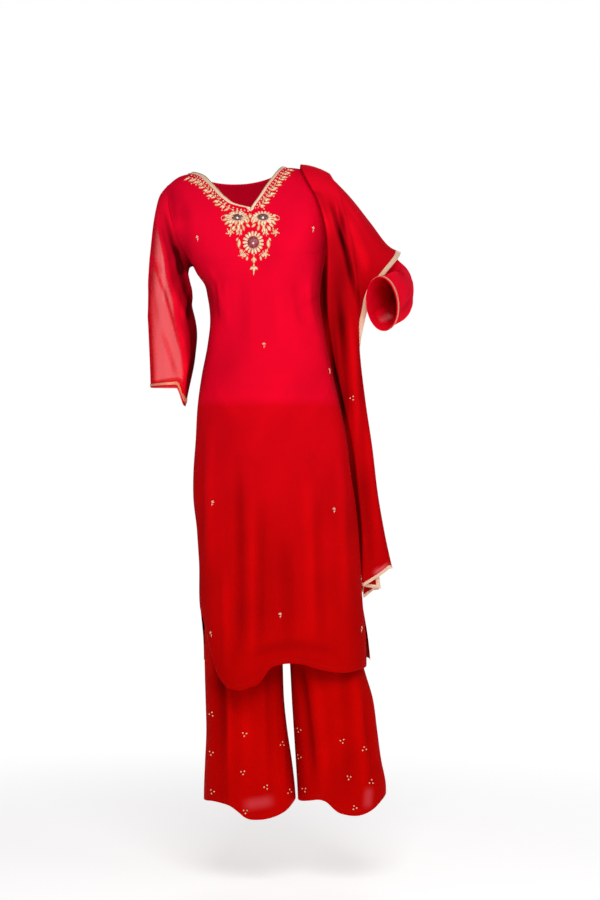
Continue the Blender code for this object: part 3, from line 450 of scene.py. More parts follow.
ZARI = zari_ribbon("zari_ribbon", [(0, "E2A078"), (0.55, "FCD2AC"), (1, "FFEAD6")])
CUFF_ZARI = zari_ribbon("zari_ribbon_cuffs", [(0, "BC5636"), (0.55, "F0885C"), (1, "FFBC94")])
THREAD = zari_thread()
SILK = bead_silk("maroon_silk", "3C1018", "5A2A34", "74505A", "94787E")
WINE_SILK = bead_silk("wine_silk", "5A0A16", "86152A", "A03048", "B87080")
# glass seed beads with a gilt lining, which glitter; pearls are moulded and coated; sewing is polyester
BEAD = plain("gilt_glass_bead", "FFC9A0", Metallic=0.3, Roughness=0.18, Coat_Weight=0.5)
PEARL = plain("moulded_pearl", "FFEFD8", Roughness=0.22, Coat_Weight=0.6)
COPPER = plain("copper_thread", "E08A50", Roughness=0.5)
EDGE_THREAD = plain("olive_thread", "7C7A58", Roughness=0.6)
SEWING = plain("polyester_thread", "A8040A", Roughness=0.6)


# ---- kameez form
def underarm_line(x):
    """Height of the line between the two underarms."""
    return LEFT_Z + (RIGHT_Z - LEFT_Z) * (x - LEFT_X) / (RIGHT_X - LEFT_X)


def half_ring(left, right, angle):
    """Across a half ring, from its left edge to its right edge."""
    return 0.5 * (left + right) + 0.5 * (right - left) * sin(angle)


def rounded(angle, level):
    """The cosine to a power, so that a row is nearly an oval at the bust and boxier towards the hem."""
    power = BUST_POWER + (HEM_POWER - BUST_POWER) * ease((-0.5 - level) / 0.4)
    return maximum(cos(angle), 0) ** power


def below_arms(level, angle, facing):
    """Body below the underarms: half a flattened ring at each level, tilted near the underarms."""
    middle = 0.5 * (LEFT_X + RIGHT_X)
    fade = ease((level - LEVEL_FLAT) / (0.5 * (LEFT_Z + RIGHT_Z) - LEVEL_FLAT))
    tilt = (RIGHT_Z - LEFT_Z) / (RIGHT_X - LEFT_X) * fade
    x = half_ring(through(BODY, 1, level + tilt * (LEFT_X - middle)),
                  through(BODY, 2, level + tilt * (RIGHT_X - middle)), angle)
    y = facing * through(BODY, DEPTH[facing], level) * rounded(angle, level)
    return points(x, y, level + tilt * (x - middle))


def arm_frame(h, facing):
    """Middle, radius and turn of the row at height h above the underarms, and its depths."""
    left, right = through(ARMHOLE, 1, h), through(ARMHOLE, 2, h)
    turn = QUARTER - SHOULDER_TURN * h ** 0.8
    edge = ARM_DEPTH * 2 * np.sqrt(maximum(h * (1 - h), 0))
    power = SHOULDER_CURVE[facing]
    deep = through(BODY, DEPTH[facing], 0.5 * (LEFT_Z + RIGHT_Z)) * (1 - h ** power) ** (1 / power)
    return 0.5 * (left + right), 0.5 * (right - left) / sin(turn), turn, edge, maximum(deep, edge)


def beside_arms(h, angle, facing):
    """Body from the underarms, h = 0, to the shoulder line, h = 1, at an angle round it. Its depth runs
    from the armhole's at the ends to the body's in the middle."""
    middle, radius, turn, edge, deep = arm_frame(h, facing)
    x = middle + radius * sin(angle)
    y = facing * (edge + (deep - edge) * (cos(angle) - cos(turn)) / (1 - cos(turn)))
    low = underarm_line(x)
    return points(x, y, low + (through(SHOULDER, 1, x) - low) * h)


def angle_of(h, x, facing):
    """The angle round the body of a place across it, in the row at height h."""
    middle, radius = arm_frame(h, facing)[:2]
    return np.arcsin(clip((x - middle) / radius, -1, 1))


def spread(share, low, middle, high):
    """Runs from low at share -1 through middle at 0 to high at 1."""
    return where(share < 0, middle + (middle - low) * share, middle + (high - middle) * share)


def skirt_front(step, share):
    """Front below the slits: step 0 is level with their top and 1 is the hem. Height depends on the
    place across and the place on height, so both are found in a few rounds."""
    angle = share * QUARTER
    part = 0.5 * (1 + sin(angle))
    left, right = through(BODY, 1, SLIT_TOP), through(BODY, 2, SLIT_TOP)
    x = left + (right - left) * part
    for _ in range(3):
        z = SLIT_TOP + (through(FRONT_HEM, 1, x) - SLIT_TOP) * step
        left_edge, right_edge = through(FRONT_CORNER, 1, z), through(BODY, 2, z)
        x = left_edge + (right_edge - left_edge) * part
    edge = where(angle < 0, through(FRONT_CORNER, 2, z), 0)
    y = -edge - (through(BODY, DEPTH[-1], z) - edge) * rounded(angle, SLIT_TOP)
    for place, width, out in HEM_WAVES:
        y = y - out * step * np.exp(-((x - place) / width) ** 2)
    return points(x, y, z)


def skirt_back(step, share):
    """Back below the slits, from their top at step 0 to the level hem at 1."""
    angle = share * QUARTER
    z = SLIT_TOP + (BACK_HEM - SLIT_TOP) * step
    left, right = through(BODY, 1, z) - BACK_WIDER[0] * step, through(BODY, 2, z) + BACK_WIDER[1] * step
    x = half_ring(left, right, angle)
    return points(x, through(BODY, DEPTH[1], z) * rounded(angle, SLIT_TOP), z)


def front_edge_of_v(h, side):
    """The angle of the V's left or right edge at height h; below the V, that of its point."""
    return angle_of(h, through(NECK, 1 if side < 0 else 2, maximum(h, NECK_LOW)), -1)


# the fine cloth's rows and columns, whose cells are 2 to 5 mm wide
SHARES = linspace(-1, 1, 105)[None, :]
HEM_ROWS = linspace(1, 0, 32)[:-1, None]
BODY_LEVELS = linspace(SLIT_TOP, -0.1935, 143)[:, None]
NECK_ROWS = linspace(NECK_LOW, 1, 24)[:, None]
ARM_LEVELS = linspace(0, NECK_LOW, 18)[:, None]


def front_cloth():
    """The kameez front: its skirt, body and chest as one grid, and a grid on each side of the V."""
    v_angle = float(angle_of(NECK_LOW, through(NECK, 1, NECK_LOW), -1))
    centre = v_angle * ease((BODY_LEVELS + 0.4) / 0.2)
    turn = arm_frame(ARM_LEVELS, -1)[2]
    low = concatenate([
        skirt_front(HEM_ROWS, SHARES),
        below_arms(BODY_LEVELS, spread(SHARES, -QUARTER, centre, QUARTER), -1),
        beside_arms(ARM_LEVELS, spread(SHARES, -turn, front_edge_of_v(ARM_LEVELS, -1), turn), -1)])
    turn = arm_frame(NECK_ROWS, -1)[2]
    half = SHARES[:, :SHARES.size // 2 + 1] + 1
    left, right = front_edge_of_v(NECK_ROWS, -1), front_edge_of_v(NECK_ROWS, 1)
    return Cloth(low, beside_arms(NECK_ROWS, -turn + (left + turn) * half, -1),
                 beside_arms(NECK_ROWS, right + (turn - right) * half, -1))


def back_cloth():
    """The kameez back: skirt, body and shoulders, whose upper rows dip to the neck."""
    h = concatenate([ARM_LEVELS, NECK_ROWS[1:]])
    turn = arm_frame(h, 1)[2]
    ends = [angle_of(h, NECK[-1, k], 1) for k in (1, 2)]
    even = SHARES * turn
    fitted = where(SHARES < -0.4, -turn + (ends[0] + turn) * (SHARES + 1) / 0.6,
                   where(SHARES > 0.4, ends[1] + (turn - ends[1]) * (SHARES - 0.4) / 0.6,
                         ends[0] + (ends[1] - ends[0]) * (SHARES + 0.4) / 0.8))
    angle = even + (fitted - even) * ease(h / 0.7)
    across = (beside_arms(h, angle, 1)[..., 0] - NECK[-1, 1]) / (NECK[-1, 2] - NECK[-1, 1])
    inside = clip(4 * across * (1 - across), 0, 1) ** 0.6
    dip = BACK_NECK_DROP / abs(LEFT_Z) * inside * ease((h - 0.3) / 0.7)
    rows = concatenate([skirt_back(HEM_ROWS, SHARES), below_arms(BODY_LEVELS, SHARES * QUARTER, 1),
                        beside_arms(h - dip, angle, 1)])
    return Cloth(rows[:, ::-1])


# ridges (+) and troughs (-) of the front: from across, height, to across, height, bow, half width, depth
FRONT_CREASES = mm(
    (-98, -210, -62, -330, 6, 13, -4), (-82, -196, -46, -310, 8, 10, 3), (-60, -215, -52, -330, -6, 9, -3),
    (-40, -225, -30, -345, -4, 12, 2.2), (-10, -205, -6, -380, 2, 20, -2.6),
    (100, -225, 122, -340, -5, 14, -2.6), (128, -215, 140, -335, -6, 10, 2.4),
    (60, -230, 70, -360, 4, 20, 1.6), (-20, -560, -16, -1040, 4, 14, -6), (6, -600, 10, -1055, 5, 16, 5.5),
    (36, -640, 30, -1030, -4, 15, -3.6), (74, -720, 82, -1010, 6, 22, -4), (116, -560, 128, -1010, 6, 20, 4),
    (152, -620, 160, -1020, -6, 16, -3.8), (186, -520, 200, -960, 4, 14, 3.4),
    (-66, -470, -70, -860, -6, 13, 2), (-88, -500, -86, -840, -4, 10, -3),
    (-46, -800, -40, -1040, 4, 13, 4.2), (160, -250, 90, -300, 6, 8, -1.6),
    (-70, -440, 10, -520, -12, 16, 1.6), (170, -420, 110, -520, 14, 16, 1.6))
# the same on the back
BACK_CREASES = mm(
    (-92, -195, -50, -320, 6, 13, -3.8), (-74, -190, -34, -310, 8, 11, 3),
    (142, -185, 104, -320, -6, 13, -3.6), (120, -190, 84, -300, -8, 11, 2.8),
    (20, -250, 26, -470, 3, 20, -3.6), (50, -280, 56, -440, 3, 14, 2.4), (-10, -270, -16, -430, -3, 14, 2.4),
    (-40, -560, -50, -1035, 6, 15, -5), (-12, -620, -14, -1040, -5, 18, 5.2),
    (30, -560, 24, -1035, 4, 16, -4.4), (64, -600, 70, -1040, 5, 18, 5),
    (104, -540, 112, -1030, -6, 16, -4.6), (146, -600, 158, -1030, 5, 16, 4.6),
    (184, -500, 196, -940, 4, 12, -3), (-78, -500, -80, -930, 4, 12, 3.2))
# where the front is painted darker: painted shade along both armholes and under them and down the sides
# of the skirt, and a darker band just above the hem; one short row, at the rounded left corner, is a
# painted highlight instead
FRONT_PAINTED_SHADING = mm(
    (-160, -30, -146, -130, 3, 12, -6), (-146, -120, -112, -200, 4, 14, -4),
    (-108, -190, -78, -330, 4, 22, -5), (150, -180, 156, -350, 0, 22, -4),
    (-14.5, -1004, 206, -999, 30, 18, -4.8), (-102, -420, -94, -1050, -6, 26, -4),
    (190, -420, 240, -1050, -4, 22, -3.6), (-86, -940, -70, -1010, 0, 6, 4),
    (-150, -30, -125, -120, 0, 24, -4), (-125, -60, -112, -200, 0, 18, -5))
SEAM_STILL = 0.035  # seams are still, and the folds reach their height this far in
SIDES = {-1: "right", 1: "left"}  # as the wearer has them
FACES = {-1: "front", 1: "back"}


def fold_height(cloth, table):
    """How far a panel's creases and slow swells stand out, at a cloth's points. It is 0 on the side seams
    and shoulders, so that they stay joined."""
    x, y, z = cloth.at.T
    return (creases(table, x, z) + unevenness(x, y, z, 0.16)) * ease(np.abs(y) / SEAM_STILL)


def folded(cloth, table, deep=()):
    """The cloth with its creases and slow swells. Its `fold` attribute holds the creases' depth, and the
    painted shade of the places given in `deep`.
    """
    height = fold_height(cloth, table)
    cloth.given["fold"] = height + creases(deep, cloth.at[:, 0], cloth.at[:, 2])
    return cloth.lift(height)


front = folded(front_cloth(), FRONT_CREASES, FRONT_PAINTED_SHADING)
back = folded(back_cloth(), BACK_CREASES)
kameez_front = front.piece("kameez_front_cloth", KAMEEZ, "kameez", ["kameez_front"])
kameez_back = back.piece("kameez_back_cloth", KAMEEZ, "kameez", ["kameez_back"])

# ---- sleeves
# outer line across and height, inner line across and height, half the depth, centre's depth
HANGING = numbered(
    (-163.5, -33, -112, -199, 55, 0), (-180, -55, -118, -202.5, 56, 0), (-189, -88, -120, -209, 56, 0),
    (-195.5, -130, -120.5, -220, 55, 0), (-200, -178, -117, -240, 53, 1), (-203.5, -240, -113, -280, 50, 0),
    (-203.9, -310, -104, -330, 47, -4), (-201, -370, -105.5, -385, 44, -10),
    (-198.5, -425, -116.5, -442, 41, -14), (-197.7, -448, -126.5, -490, 40, -16))
# centre across, in depth and height, half height, half width
BENT = numbered(
    (172.8, 0, -106.5, 70, 55), (208, 16, -135, 56, 52), (241, 42, -165, 47, 45), (273, 66, -195, 41, 37),
    (302, 76, -217, 37, 29), (319.5, 61, -235, 38, 25), (320.5, 26, -250, 43, 25),
    (308.5, -18, -263, 49, 28.5), (291.5, -60, -274.5, 53, 32), (274.5, -99, -285, 55, 33))
RING = linspace(0, 2 * pi, 105)[None, :]  # round a sleeve: 0 on top, through back and under
PLACES = linspace(0, 9, 136)[:, None]  # down a sleeve, in the tables' rows
ACROSS, BACKWARD, UPWARD = np.eye(3)
SET_IN = 3  # the armhole's shape fades out over this many rows of the tables
CUFF_TILT = (0.042, -0.0035)  # the hanging sleeve's hem, per share of the way in and at its outer line
CUFF_CORNER = (0.74, 0.24)  # the hem drops to its corner from here, over this share of the way in


def set_in(rings, side):
    """A sleeve's rings set into the armhole, which is where the body's rows end. What sets the armhole
    apart from the first ring fades out down the sleeve."""
    h = 0.5 * (1 + cos(RING))
    behind, before = (beside_arms(h, arm_frame(h, facing)[2] * side, facing) for facing in (1, -1))
    apart = where((RING < pi)[..., None], behind, before) - rings[:1]
    return rings + apart * (1 - ease(PLACES / SET_IN))[..., None]


def hanging_sleeve():
    """Rings between the outer and inner lines of the table, each half as deep as it says. The hem is
    level, and drops to a corner at its inner line."""
    ox, oz, ix, iz, deep, shift = (through(HANGING, c, PLACES)[..., None] for c in range(1, 7))
    middle = 0.5 * (ox + ix) * ACROSS + 0.5 * (oz + iz) * UPWARD + shift * BACKWARD
    reach = 0.5 * (ox - ix) * ACROSS + 0.5 * (oz - iz) * UPWARD
    rings = middle + cos(RING)[..., None] * reach + sin(RING)[..., None] * deep * BACKWARD
    inward = 0.5 * (1 - cos(RING))
    raised_hem = (CUFF_TILT[0] * inward + CUFF_TILT[1]) * ease((PLACES - 6.5) / 2.5)
    raised_hem = raised_hem * (1 - ease((inward - CUFF_CORNER[0]) / CUFF_CORNER[1]))
    return set_in(rings + raised_hem[..., None] * UPWARD, -1)


def bent_sleeve():
    """Rings square to the table's centre line, each turned no more than the line turns, so that their
    columns run straight down the sleeve round the elbow. They start upright at the shoulder."""
    places = PLACES[:, 0]
    centre, ahead, behind = (
        stack([through(BENT, c, places + k) for c in (1, 2, 3)], axis=1) for k in (0, 1, -1))
    step = unit(ahead - behind)
    step = unit(step + (ACROSS - step) * (1 - ease(places / 4))[:, None])
    tops = [UPWARD]
    for along in step:
        tops.append(unit(tops[-1] - (tops[-1] @ along) * along))
    top = np.array(tops[1:])
    up = unit(UPWARD - step[:, 2:] * step)
    up, wide = up[:, None], np.cross(up, step)[:, None]
    way = cos(RING)[..., None] * top[:, None] + sin(RING)[..., None] * np.cross(top, step)[:, None]
    half_high, half_wide = (through(BENT, c, places)[:, None, None] for c in (4, 5))
    rings = ((way * up).sum(-1, keepdims=True) * half_high * up
             + (way * wide).sum(-1, keepdims=True) * half_wide * wide + centre[:, None])
    return set_in(rings, 1)


# round the sleeve from its top and down it, to the same, bow, half width, depth
HANGING_CREASES = mm(
    (215, 90, 180, 400, 10, 14, 7), (245, 60, 205, 330, 8, 10, -5), (185, 40, 150, 160, 0, 14, 6),
    (230, 230, 195, 425, 6, 8, -4), (262, 110, 235, 420, -6, 11, 4), (160, 110, 185, 200, 4, 10, -5),
    (60, 70, 85, 380, 10, 14, 6), (30, 120, 50, 420, -6, 12, -4), (105, 60, 120, 260, 6, 12, -5),
    (110, 270, 80, 430, 4, 11, 4.4), (125, 330, 165, 400, 6, 10, 5), (205, 395, 160, 430, 2, 7, -2.6))
BENT_CREASES = mm(
    (215, 40, 190, 190, 10, 12, 4), (240, 80, 215, 220, 4, 9, -3.4), (75, 50, 90, 200, 6, 12, 4),
    (110, 150, 60, 250, 12, 10, -3.6), (200, 190, 235, 290, -8, 9, -3.6), (180, 200, 190, 340, 6, 10, 3.6),
    (50, 230, 70, 380, 6, 12, 4.4), (20, 250, 35, 400, -4, 9, -3.6), (120, 260, 110, 400, 6, 12, -3.6),
    (150, 250, 140, 400, 3, 9, 3.6), (255, 250, 245, 400, 3, 10, 4))
ROUND_SLEEVE = 0.29  # a sleeve is about this far round
# where the bent sleeve is thinnest: the same columns as its creases, the last being how thin
BENT_THIN = mm(
    (262, 270, 240, 330, 0, 10, 400), (230, 230, 250, 300, 4, 12, 450), (195, 250, 215, 340, 4, 14, 300),
    (215, 300, 238, 390, 4, 12, 300), (75, 250, 85, 390, 3, 18, 350), (120, 290, 125, 380, 3, 18, 350))
# height, where across the hanging sleeve its one-layer part ends, and where the dark pleat at its inner
# side begins; both walls share them
HANGING_PLEAT = mm(
    (-80, -196, -130), (-112, -183, -138), (-140, -177, -142), (-165, -170, -144), (-200, -164, -143),
    (-232, -159, -138), (-272, -148, -128), (-313, -143, -132), (-355, -133, -128.5), (-395, -129, -130),
    (-426, -129, -129), (-490, -129, -129))
# on its front, across and height to across and height, bow, half width: how much thinner or thicker it
# is; its first row, a narrow see-through stripe, is a painted highlight. After it, where the front is
# painted darker as shade
HANGING_THIN = mm(
    (-171.5, -160, -169, -290, 0, 4.2, 450), (-199, -172, -119, -435, 5.5, 5, -720),
    (-204, -165, -176, -225, 0, 12, -500), (-176, -325, -136, -445, 0, 8, -320),
    (-195, -230, -178, -330, 0, 7, -200))
HANGING_PAINTED_SHADE = mm((-170, -80, -144, -190, 0, 8, -5), (-148, -155, -132, -225, 0, 9, -7.5))


def sleeve(grid, hangs, table, thin_table, word):
    """A sleeve with creases laid round and down it in its own unrolled lengths, from the seam on its top
    through the back and under. They and the swells fade out at the seam, the armhole and the cuff."""
    down = np.broadcast_to(lengths_down(grid)[:, None], grid.shape[:2])
    around = np.broadcast_to(RING / (2 * pi) * ROUND_SLEEVE, grid.shape[:2])
    from_seam = np.minimum(around, ROUND_SLEEVE - around)
    from_cuff = down - down[-1, 0]  # 0 at the cuff and below 0 up from it
    x, y, z = np.moveaxis(grid, -1, 0)
    height = creases(table, around, down) + unevenness(x, y, z, 0.07)
    height = height * ease(down / 0.05) * (1 - 0.85 * ease((from_cuff + 0.03) / 0.03))
    height = height * ease(from_seam / 0.01)
    # painted shade and highlight: darker in the troughs and lighter on the ridges, and darker for the first 5
    # cm below the armhole
    deep = 0.6 * height - 0.0015 * (1 - ease(down / 0.05))
    if hangs:
        outer, inner = (x - through(HANGING_PLEAT, c, z) for c in (1, 2))
        thin = ease((0.001 - outer) / 0.008) * ease(from_seam / 0.045) * ease((-0.085 - z) / 0.03)
        thin = thin * (1 + (y < 0) * creases(thin_table, x, z))
        # darker past the one-layer part, where the sleeve lies doubled, partly as doubled cloth and partly as
        # painted shade; and painted shade along the pleat at its inner side and by the armhole seam
        deep = (deep - 0.007 * ease(outer / 0.008) * ease((-0.1 - z) / 0.07)
                - 0.005 * ease((inner + 0.004) / 0.01) * ease((-0.165 - z) / 0.05)
                + (y < 0) * creases(HANGING_PAINTED_SHADE, x, z))
    else:
        thin = creases(thin_table, around, down)
    # the hem is doubled for 20 mm, so less light comes through it; less also comes through in the troughs of
    # the folds, as painted shade
    thin = thin * (1 - 0.45 * ease((from_cuff + 0.0205) / 0.001)) - 10 * maximum(-height, 0)
    turned = np.s_[::-1, ::-1 if hangs else 1]
    cloth = Cloth(grid[turned])
    fold, thin, lift = (cloth.gather(values[turned].ravel()) for values in (deep, clip(thin, 0, 1.4), height))
    cloth.given = {"fold": fold, "thin": thin}
    return cloth.lift(lift).piece(f"sleeve_{word}_cloth", SLEEVE, "sleeves", [f"sleeve_{word}"])


hanging_grid, bent_grid = hanging_sleeve(), bent_sleeve()
sleeve_right = sleeve(hanging_grid, True, HANGING_CREASES, HANGING_THIN, "right")
sleeve_left = sleeve(bent_grid, False, BENT_CREASES, BENT_THIN, "left")

# ---- trousers
WAIST_TOP, WAIST_DEEP = -0.482, 0.024  # top of the waistband, and how high the band is
CROTCH = -0.7  # height below which the legs are apart
HIPS_TO_LEG = 0.15  # the hips' ring has turned into the leg's own this far below the crotch
FLARE = (-0.95, 0.35)  # height where the flare starts, and how far down it is whole
LEG_WAVE = 0.01  # depth of the waves in the flare of a leg
BACK_LEG_HEM = -1.305
LEG_HEM_FROM = -1.235  # the hem's own curve is taken up below this height
# height, left leg's outer and inner line, right leg's inner and outer line, depth in front and behind
LEGS = mm(
    (-482, -86, 46, 46, 178, 97, 96), (-560, -93, 50, 50, 193.5, 102, 106),
    (-630, -97.5, 54.5, 54.5, 201.5, 102, 111), (-700, -97.5, 58.5, 58.5, 212, 96, 104),
    (-740, -92, 56, 67, 217, 93, 98), (-820, -88, 61, 76, 223, 89, 91), (-920, -87, 69.5, 81.5, 230, 87, 87),
    (-1022, -87, 74, 89.5, 240, 86, 86), (-1097, -85, 76.8, 93.5, 261, 87, 87),
    (-1160, -83.5, 83.5, 97.5, 269.5, 89, 90), (-1222, -86, 92.8, 101.5, 278, 92, 93),
    (-1270, -88, 98.5, 104.5, 287.2, 94, 94), (-1335, -89, 103, 107.5, 284, 96, 95))
# height, place across of the seam that joins the legs above the crotch
CENTRE_SEAM = mm((-482, 46), (-560, 50), (-630, 54.5), (-700, 58.5))
# across, from the outer line 0 to the inner line 1: height of each leg's front hem
LEFT_HEM = mm(
    (0, -1300), (100, -1295), (220, -1297.5), (300, -1302.5), (380, -1313.5), (450, -1325), (620, -1330),
    (720, -1326.8), (820, -1320.5), (920, -1311), (1000, -1299))
RIGHT_HEM = mm(
    (0, -1288), (60, -1296), (140, -1308.5), (260, -1319.5), (450, -1320.5), (560, -1314), (620, -1305),
    (670, -1296), (740, -1290.5), (860, -1293), (1000, -1301))
LEG_TURNS = linspace(0, pi, 61)[None, :]
LEG_LEVELS = linspace(LEG_HEM_FROM, WAIST_TOP - WAIST_DEEP, 146)[:, None]
LEG_HEM_ROWS = linspace(1, 0, 20)[:-1, None]


def leg_lines(z, side):
    """Where across a leg's outer line is, and its inner one, which is the centre seam above the crotch."""
    outer, inner = (1, 2) if side < 0 else (4, 3)
    return through(LEGS, outer, z), where(z < CROTCH, through(LEGS, inner, z), through(CENTRE_SEAM, 1, z))


def leg_at(z, turn, side, facing):
    """One leg's front or back from its outer seam, turn 0, to its inner one, turn pi. Above the crotch it
    is a quarter of the hips' ring, and below it half of the leg's own; one turns into the other."""
    out, inside = leg_lines(z, side)
    depth = through(LEGS, 5 if facing < 0 else 6, z)
    own = ease((CROTCH + HIPS_TO_LEG - z) / HIPS_TO_LEG)
    inward = 0.5 * (1 - cos(turn))
    inward = inward + (maximum(turn / pi, 0.5) - maximum(inward, 0.5)) * ease(1 - np.abs(z - CROTCH) / 0.13)
    own_x, own_y = out + (inside - out) * inward, depth * maximum(sin(turn), 0) ** 0.9
    ring_x, ring_y = out + (inside - out) * (1 - cos(0.5 * turn)), depth * sin(0.5 * turn)
    wave = LEG_WAVE * ease((FLARE[0] - z) / FLARE[1]) * sin(3 * turn) * sin(turn)
    return points(ring_x + (own_x - ring_x) * own, facing * (ring_y + (own_y - ring_y) * own + wave), z)


def leg_cloth(side, facing):
    """One leg's front or back, from its curved hem to the waistband."""
    share = 0.5 * (1 - cos(LEG_TURNS))
    table = LEFT_HEM if side < 0 else RIGHT_HEM
    hem = through(table, 1, share)
    if facing > 0:
        straight = table[0, 1] + (table[-1, 1] - table[0, 1]) * share
        hem = straight + (BACK_LEG_HEM - straight) * maximum(sin(pi * share), 0) ** 0.5
    hem_levels = LEG_HEM_FROM + (hem - LEG_HEM_FROM) * LEG_HEM_ROWS
    rows = concatenate([leg_at(z, LEG_TURNS, side, facing) for z in (hem_levels, LEG_LEVELS)])
    return Cloth(rows[:, ::-1] if side * facing < 0 else rows)


# the trousers' creases, by side and facing
LEG_CREASES = {
    (-1, -1): mm(
        (-36, -760, -34, -1310, 2, 7, 5), (-52, -760, -50, -1300, 2, 12, -5),
        (-10, -900, 0, -1325, 4, 18, 3), (40, -860, 52, -1320, 3, 14, -4), (66, -980, 78, -1300, 2, 8, 2.4),
        (-70, -900, -72, -1290, 2, 9, 3), (-50, -1100, 20, -1180, 10, 12, 1.6)),
    (1, -1): mm(
        (94, -960, 136, -1290, 8, 14, -6), (124, -960, 164, -1310, 6, 18, 4.6),
        (190, -900, 206, -1315, 6, 18, -4), (216, -980, 240, -1315, 4, 14, 4),
        (236, -1040, 262, -1290, 2, 10, -3.4), (160, -1120, 240, -1180, 10, 12, 1.4)),
    (-1, 1): mm(
        (-40, -720, -40, -1300, 4, 10, -5), (-12, -760, -6, -1300, 4, 14, 5),
        (34, -800, 44, -1300, 4, 14, -4), (-66, -860, -68, -1290, 4, 10, 3.4)),
    (1, 1): mm(
        (120, -800, 132, -1300, 4, 12, -4.4), (150, -760, 170, -1300, 4, 16, 5),
        (196, -780, 220, -1300, 4, 14, -4.4), (224, -900, 252, -1290, 4, 10, 3.4)),
}
# where a leg is painted darker as shade: beside its pressed crease, and in the shade of the kameez
LEG_PAINTED_SHADE = {
    (-1, -1): mm((-66, -900, -62, -1400, 0, 26, -4), (-110, -1050, 80, -1030, -10, 40, -6)),
    (1, -1): mm((104, -980, 140, -1260, 6, 12, -5), (60, -1030, 280, -1040, 10, 36, -6)),
}
# patches near the hems where light comes through one layer
LEG_THIN = {
    (-1, -1): mm((-12, -1302, 64, -1290, 0, 17, 300)),
    (1, -1): mm((246, -1312, 251, -1260, 0, 14, 280)),
}
PRESSED = ((-0.0385, -1.05), (-0.0325, -1.28))  # the left leg's pressed crease: across and height


def pressed_crease_shade(x, z):
    """How much darker the cloth is painted just outside the left leg's pressed crease, as painted shade."""
    (xa, za), (xb, zb) = PRESSED
    line = xa + (xb - xa) * (z - za) / (zb - za)
    return -0.0045 * ease((line - x) / 0.004) * ease((x - line + 0.034) / 0.03) * ease((-0.98 - z) / 0.06)


def still_leg(x, z, side):
    """0 on a leg's outer and inner seams and at the waistband, and 1 a little away from them."""
    out, inside = leg_lines(z, side)
    beside = np.minimum(np.abs(x - out), np.abs(x - inside) + 0.02 * (z > CROTCH))
    return ease(beside / 0.01) * ease((WAIST_TOP - WAIST_DEEP - z) / 0.03)


legs, leg_pieces = {}, []
for side, word in SIDES.items():
    for facing, place in FACES.items():
        which = side, facing
        legs[which] = cloth = leg_cloth(side, facing)
        x, y, z = cloth.at.T
        height = (creases(LEG_CREASES[which], x, z) + unevenness(x, y, z, 0.15)) * still_leg(x, z, side)
        # fold holds the creases' depth, and the painted shade beside the pressed crease and under the kameez
        cloth.given["fold"] = height + creases(LEG_PAINTED_SHADE.get(which, ()), x, z)
        if which == (-1, -1):
            cloth.given["fold"] += pressed_crease_shade(x, z)
        cloth.given["thin"] = clip(creases(LEG_THIN.get(which, ()), x, z), 0, 1)
        name = f"trouser_{word}_{place}"
        leg_pieces.append(cloth.lift(height).piece(f"{name}_cloth", TROUSER, "trousers", [name]))


def waistband():
    """A level band round the waist, softly gathered by the elastic in it: 90 small waves round it."""
    turn, share = linspace(-pi, pi, 541)[None, :], linspace(0, 1, 9)[:, None]
    z = WAIST_TOP - WAIST_DEEP * (1 - share)
    left, right, before, behind = (through(LEGS, c, z) for c in (1, 4, 5, 6))
    gather = 1 + 0.01 * sin(90 * turn + sin(7 * turn)) * sin(pi * share)
    x = 0.5 * (left + right) + 0.5 * (right - left) * sin(turn) * gather
    return Cloth(points(x, -where(cos(turn) > 0, before, behind) * cos(turn) * gather, z))


band_piece = waistband().piece("waistband_cloth", TROUSER, "trousers", ["waistband"], 0.0018)

# ---- dupatta
PITCH = (0.0025, 0.0046, 0.009)  # distance of its folded layers: on the shoulder, below it, low down
TIP = 320.5  # how far across its point reaches, past the elbow, in millimetres
SHAWL_BORDER = 0.009  # width of the ribbon along its selvages
BACK_END_HIGHER = 0.02  # the back fall ends this much higher than the front one
TURN_DOWN = 0.055  # it has turned over the shoulder this far below its ridge
# height, left folds, right fold, outer selvage: across; inmost layer's depth at the left and out there
FRONT_FALL = mm(
    (10, 108, 156, TIP, -30, 40), (-30, 124, 180, TIP, -60, 45), (-60, 140, 193, TIP, -74, 40),
    (-110, 158, 204.5, TIP, -86, 36), (-165, 166, 219, TIP, -88, 30), (-201, 166, 224, 297.5, -80, 10),
    (-220, 166, 226, 284, -75, 0), (-240, 166, 228, 266, -70, -10), (-302, 167, 230, 246, -52, -18),
    (-363, 175, 231.5, 234, -36, -12), (-477, 199, 244, 235, -14, -4), (-576, 219, 259, 248, 0, 6),
    (-675, 231, 271.5, 260, 14, 18), (-748, 237.5, 284.5, 265, 24, 28), (-890, 238.5, 317, 276, 40, 44))
BACK_FALL = mm(
    (10, 108, 156, TIP, 30, 100), (-30, 110, 178, TIP, 62, 110), (-60, 108, 190, TIP, 84, 118),
    (-110, 104, 194, TIP, 104, 126), (-165, 102, 196, 316, 114, 134), (-210, 102, 197, 290, 116, 138),
    (-250, 102, 198, 264, 118, 140), (-310, 103, 200, 241, 120, 140), (-363, 105, 202, 235, 122, 138),
    (-477, 110, 208, 240, 130, 136), (-630, 116, 216, 256, 142, 142), (-890, 124, 232, 268, 146, 146))
# across, height and depth of the line where the inmost layer turns over the shoulder and the arm
RIDGE = mm(
    (105, 3.4, 0), (130, 0, 0), (150, -6.2, 0), (166, -13.5, 1), (178, -20.5, 4), (191.8, -33, 10),
    (214, -55.3, 20), (256.5, -105, 45), (298, -154, 62), (TIP, -164.2, 70))


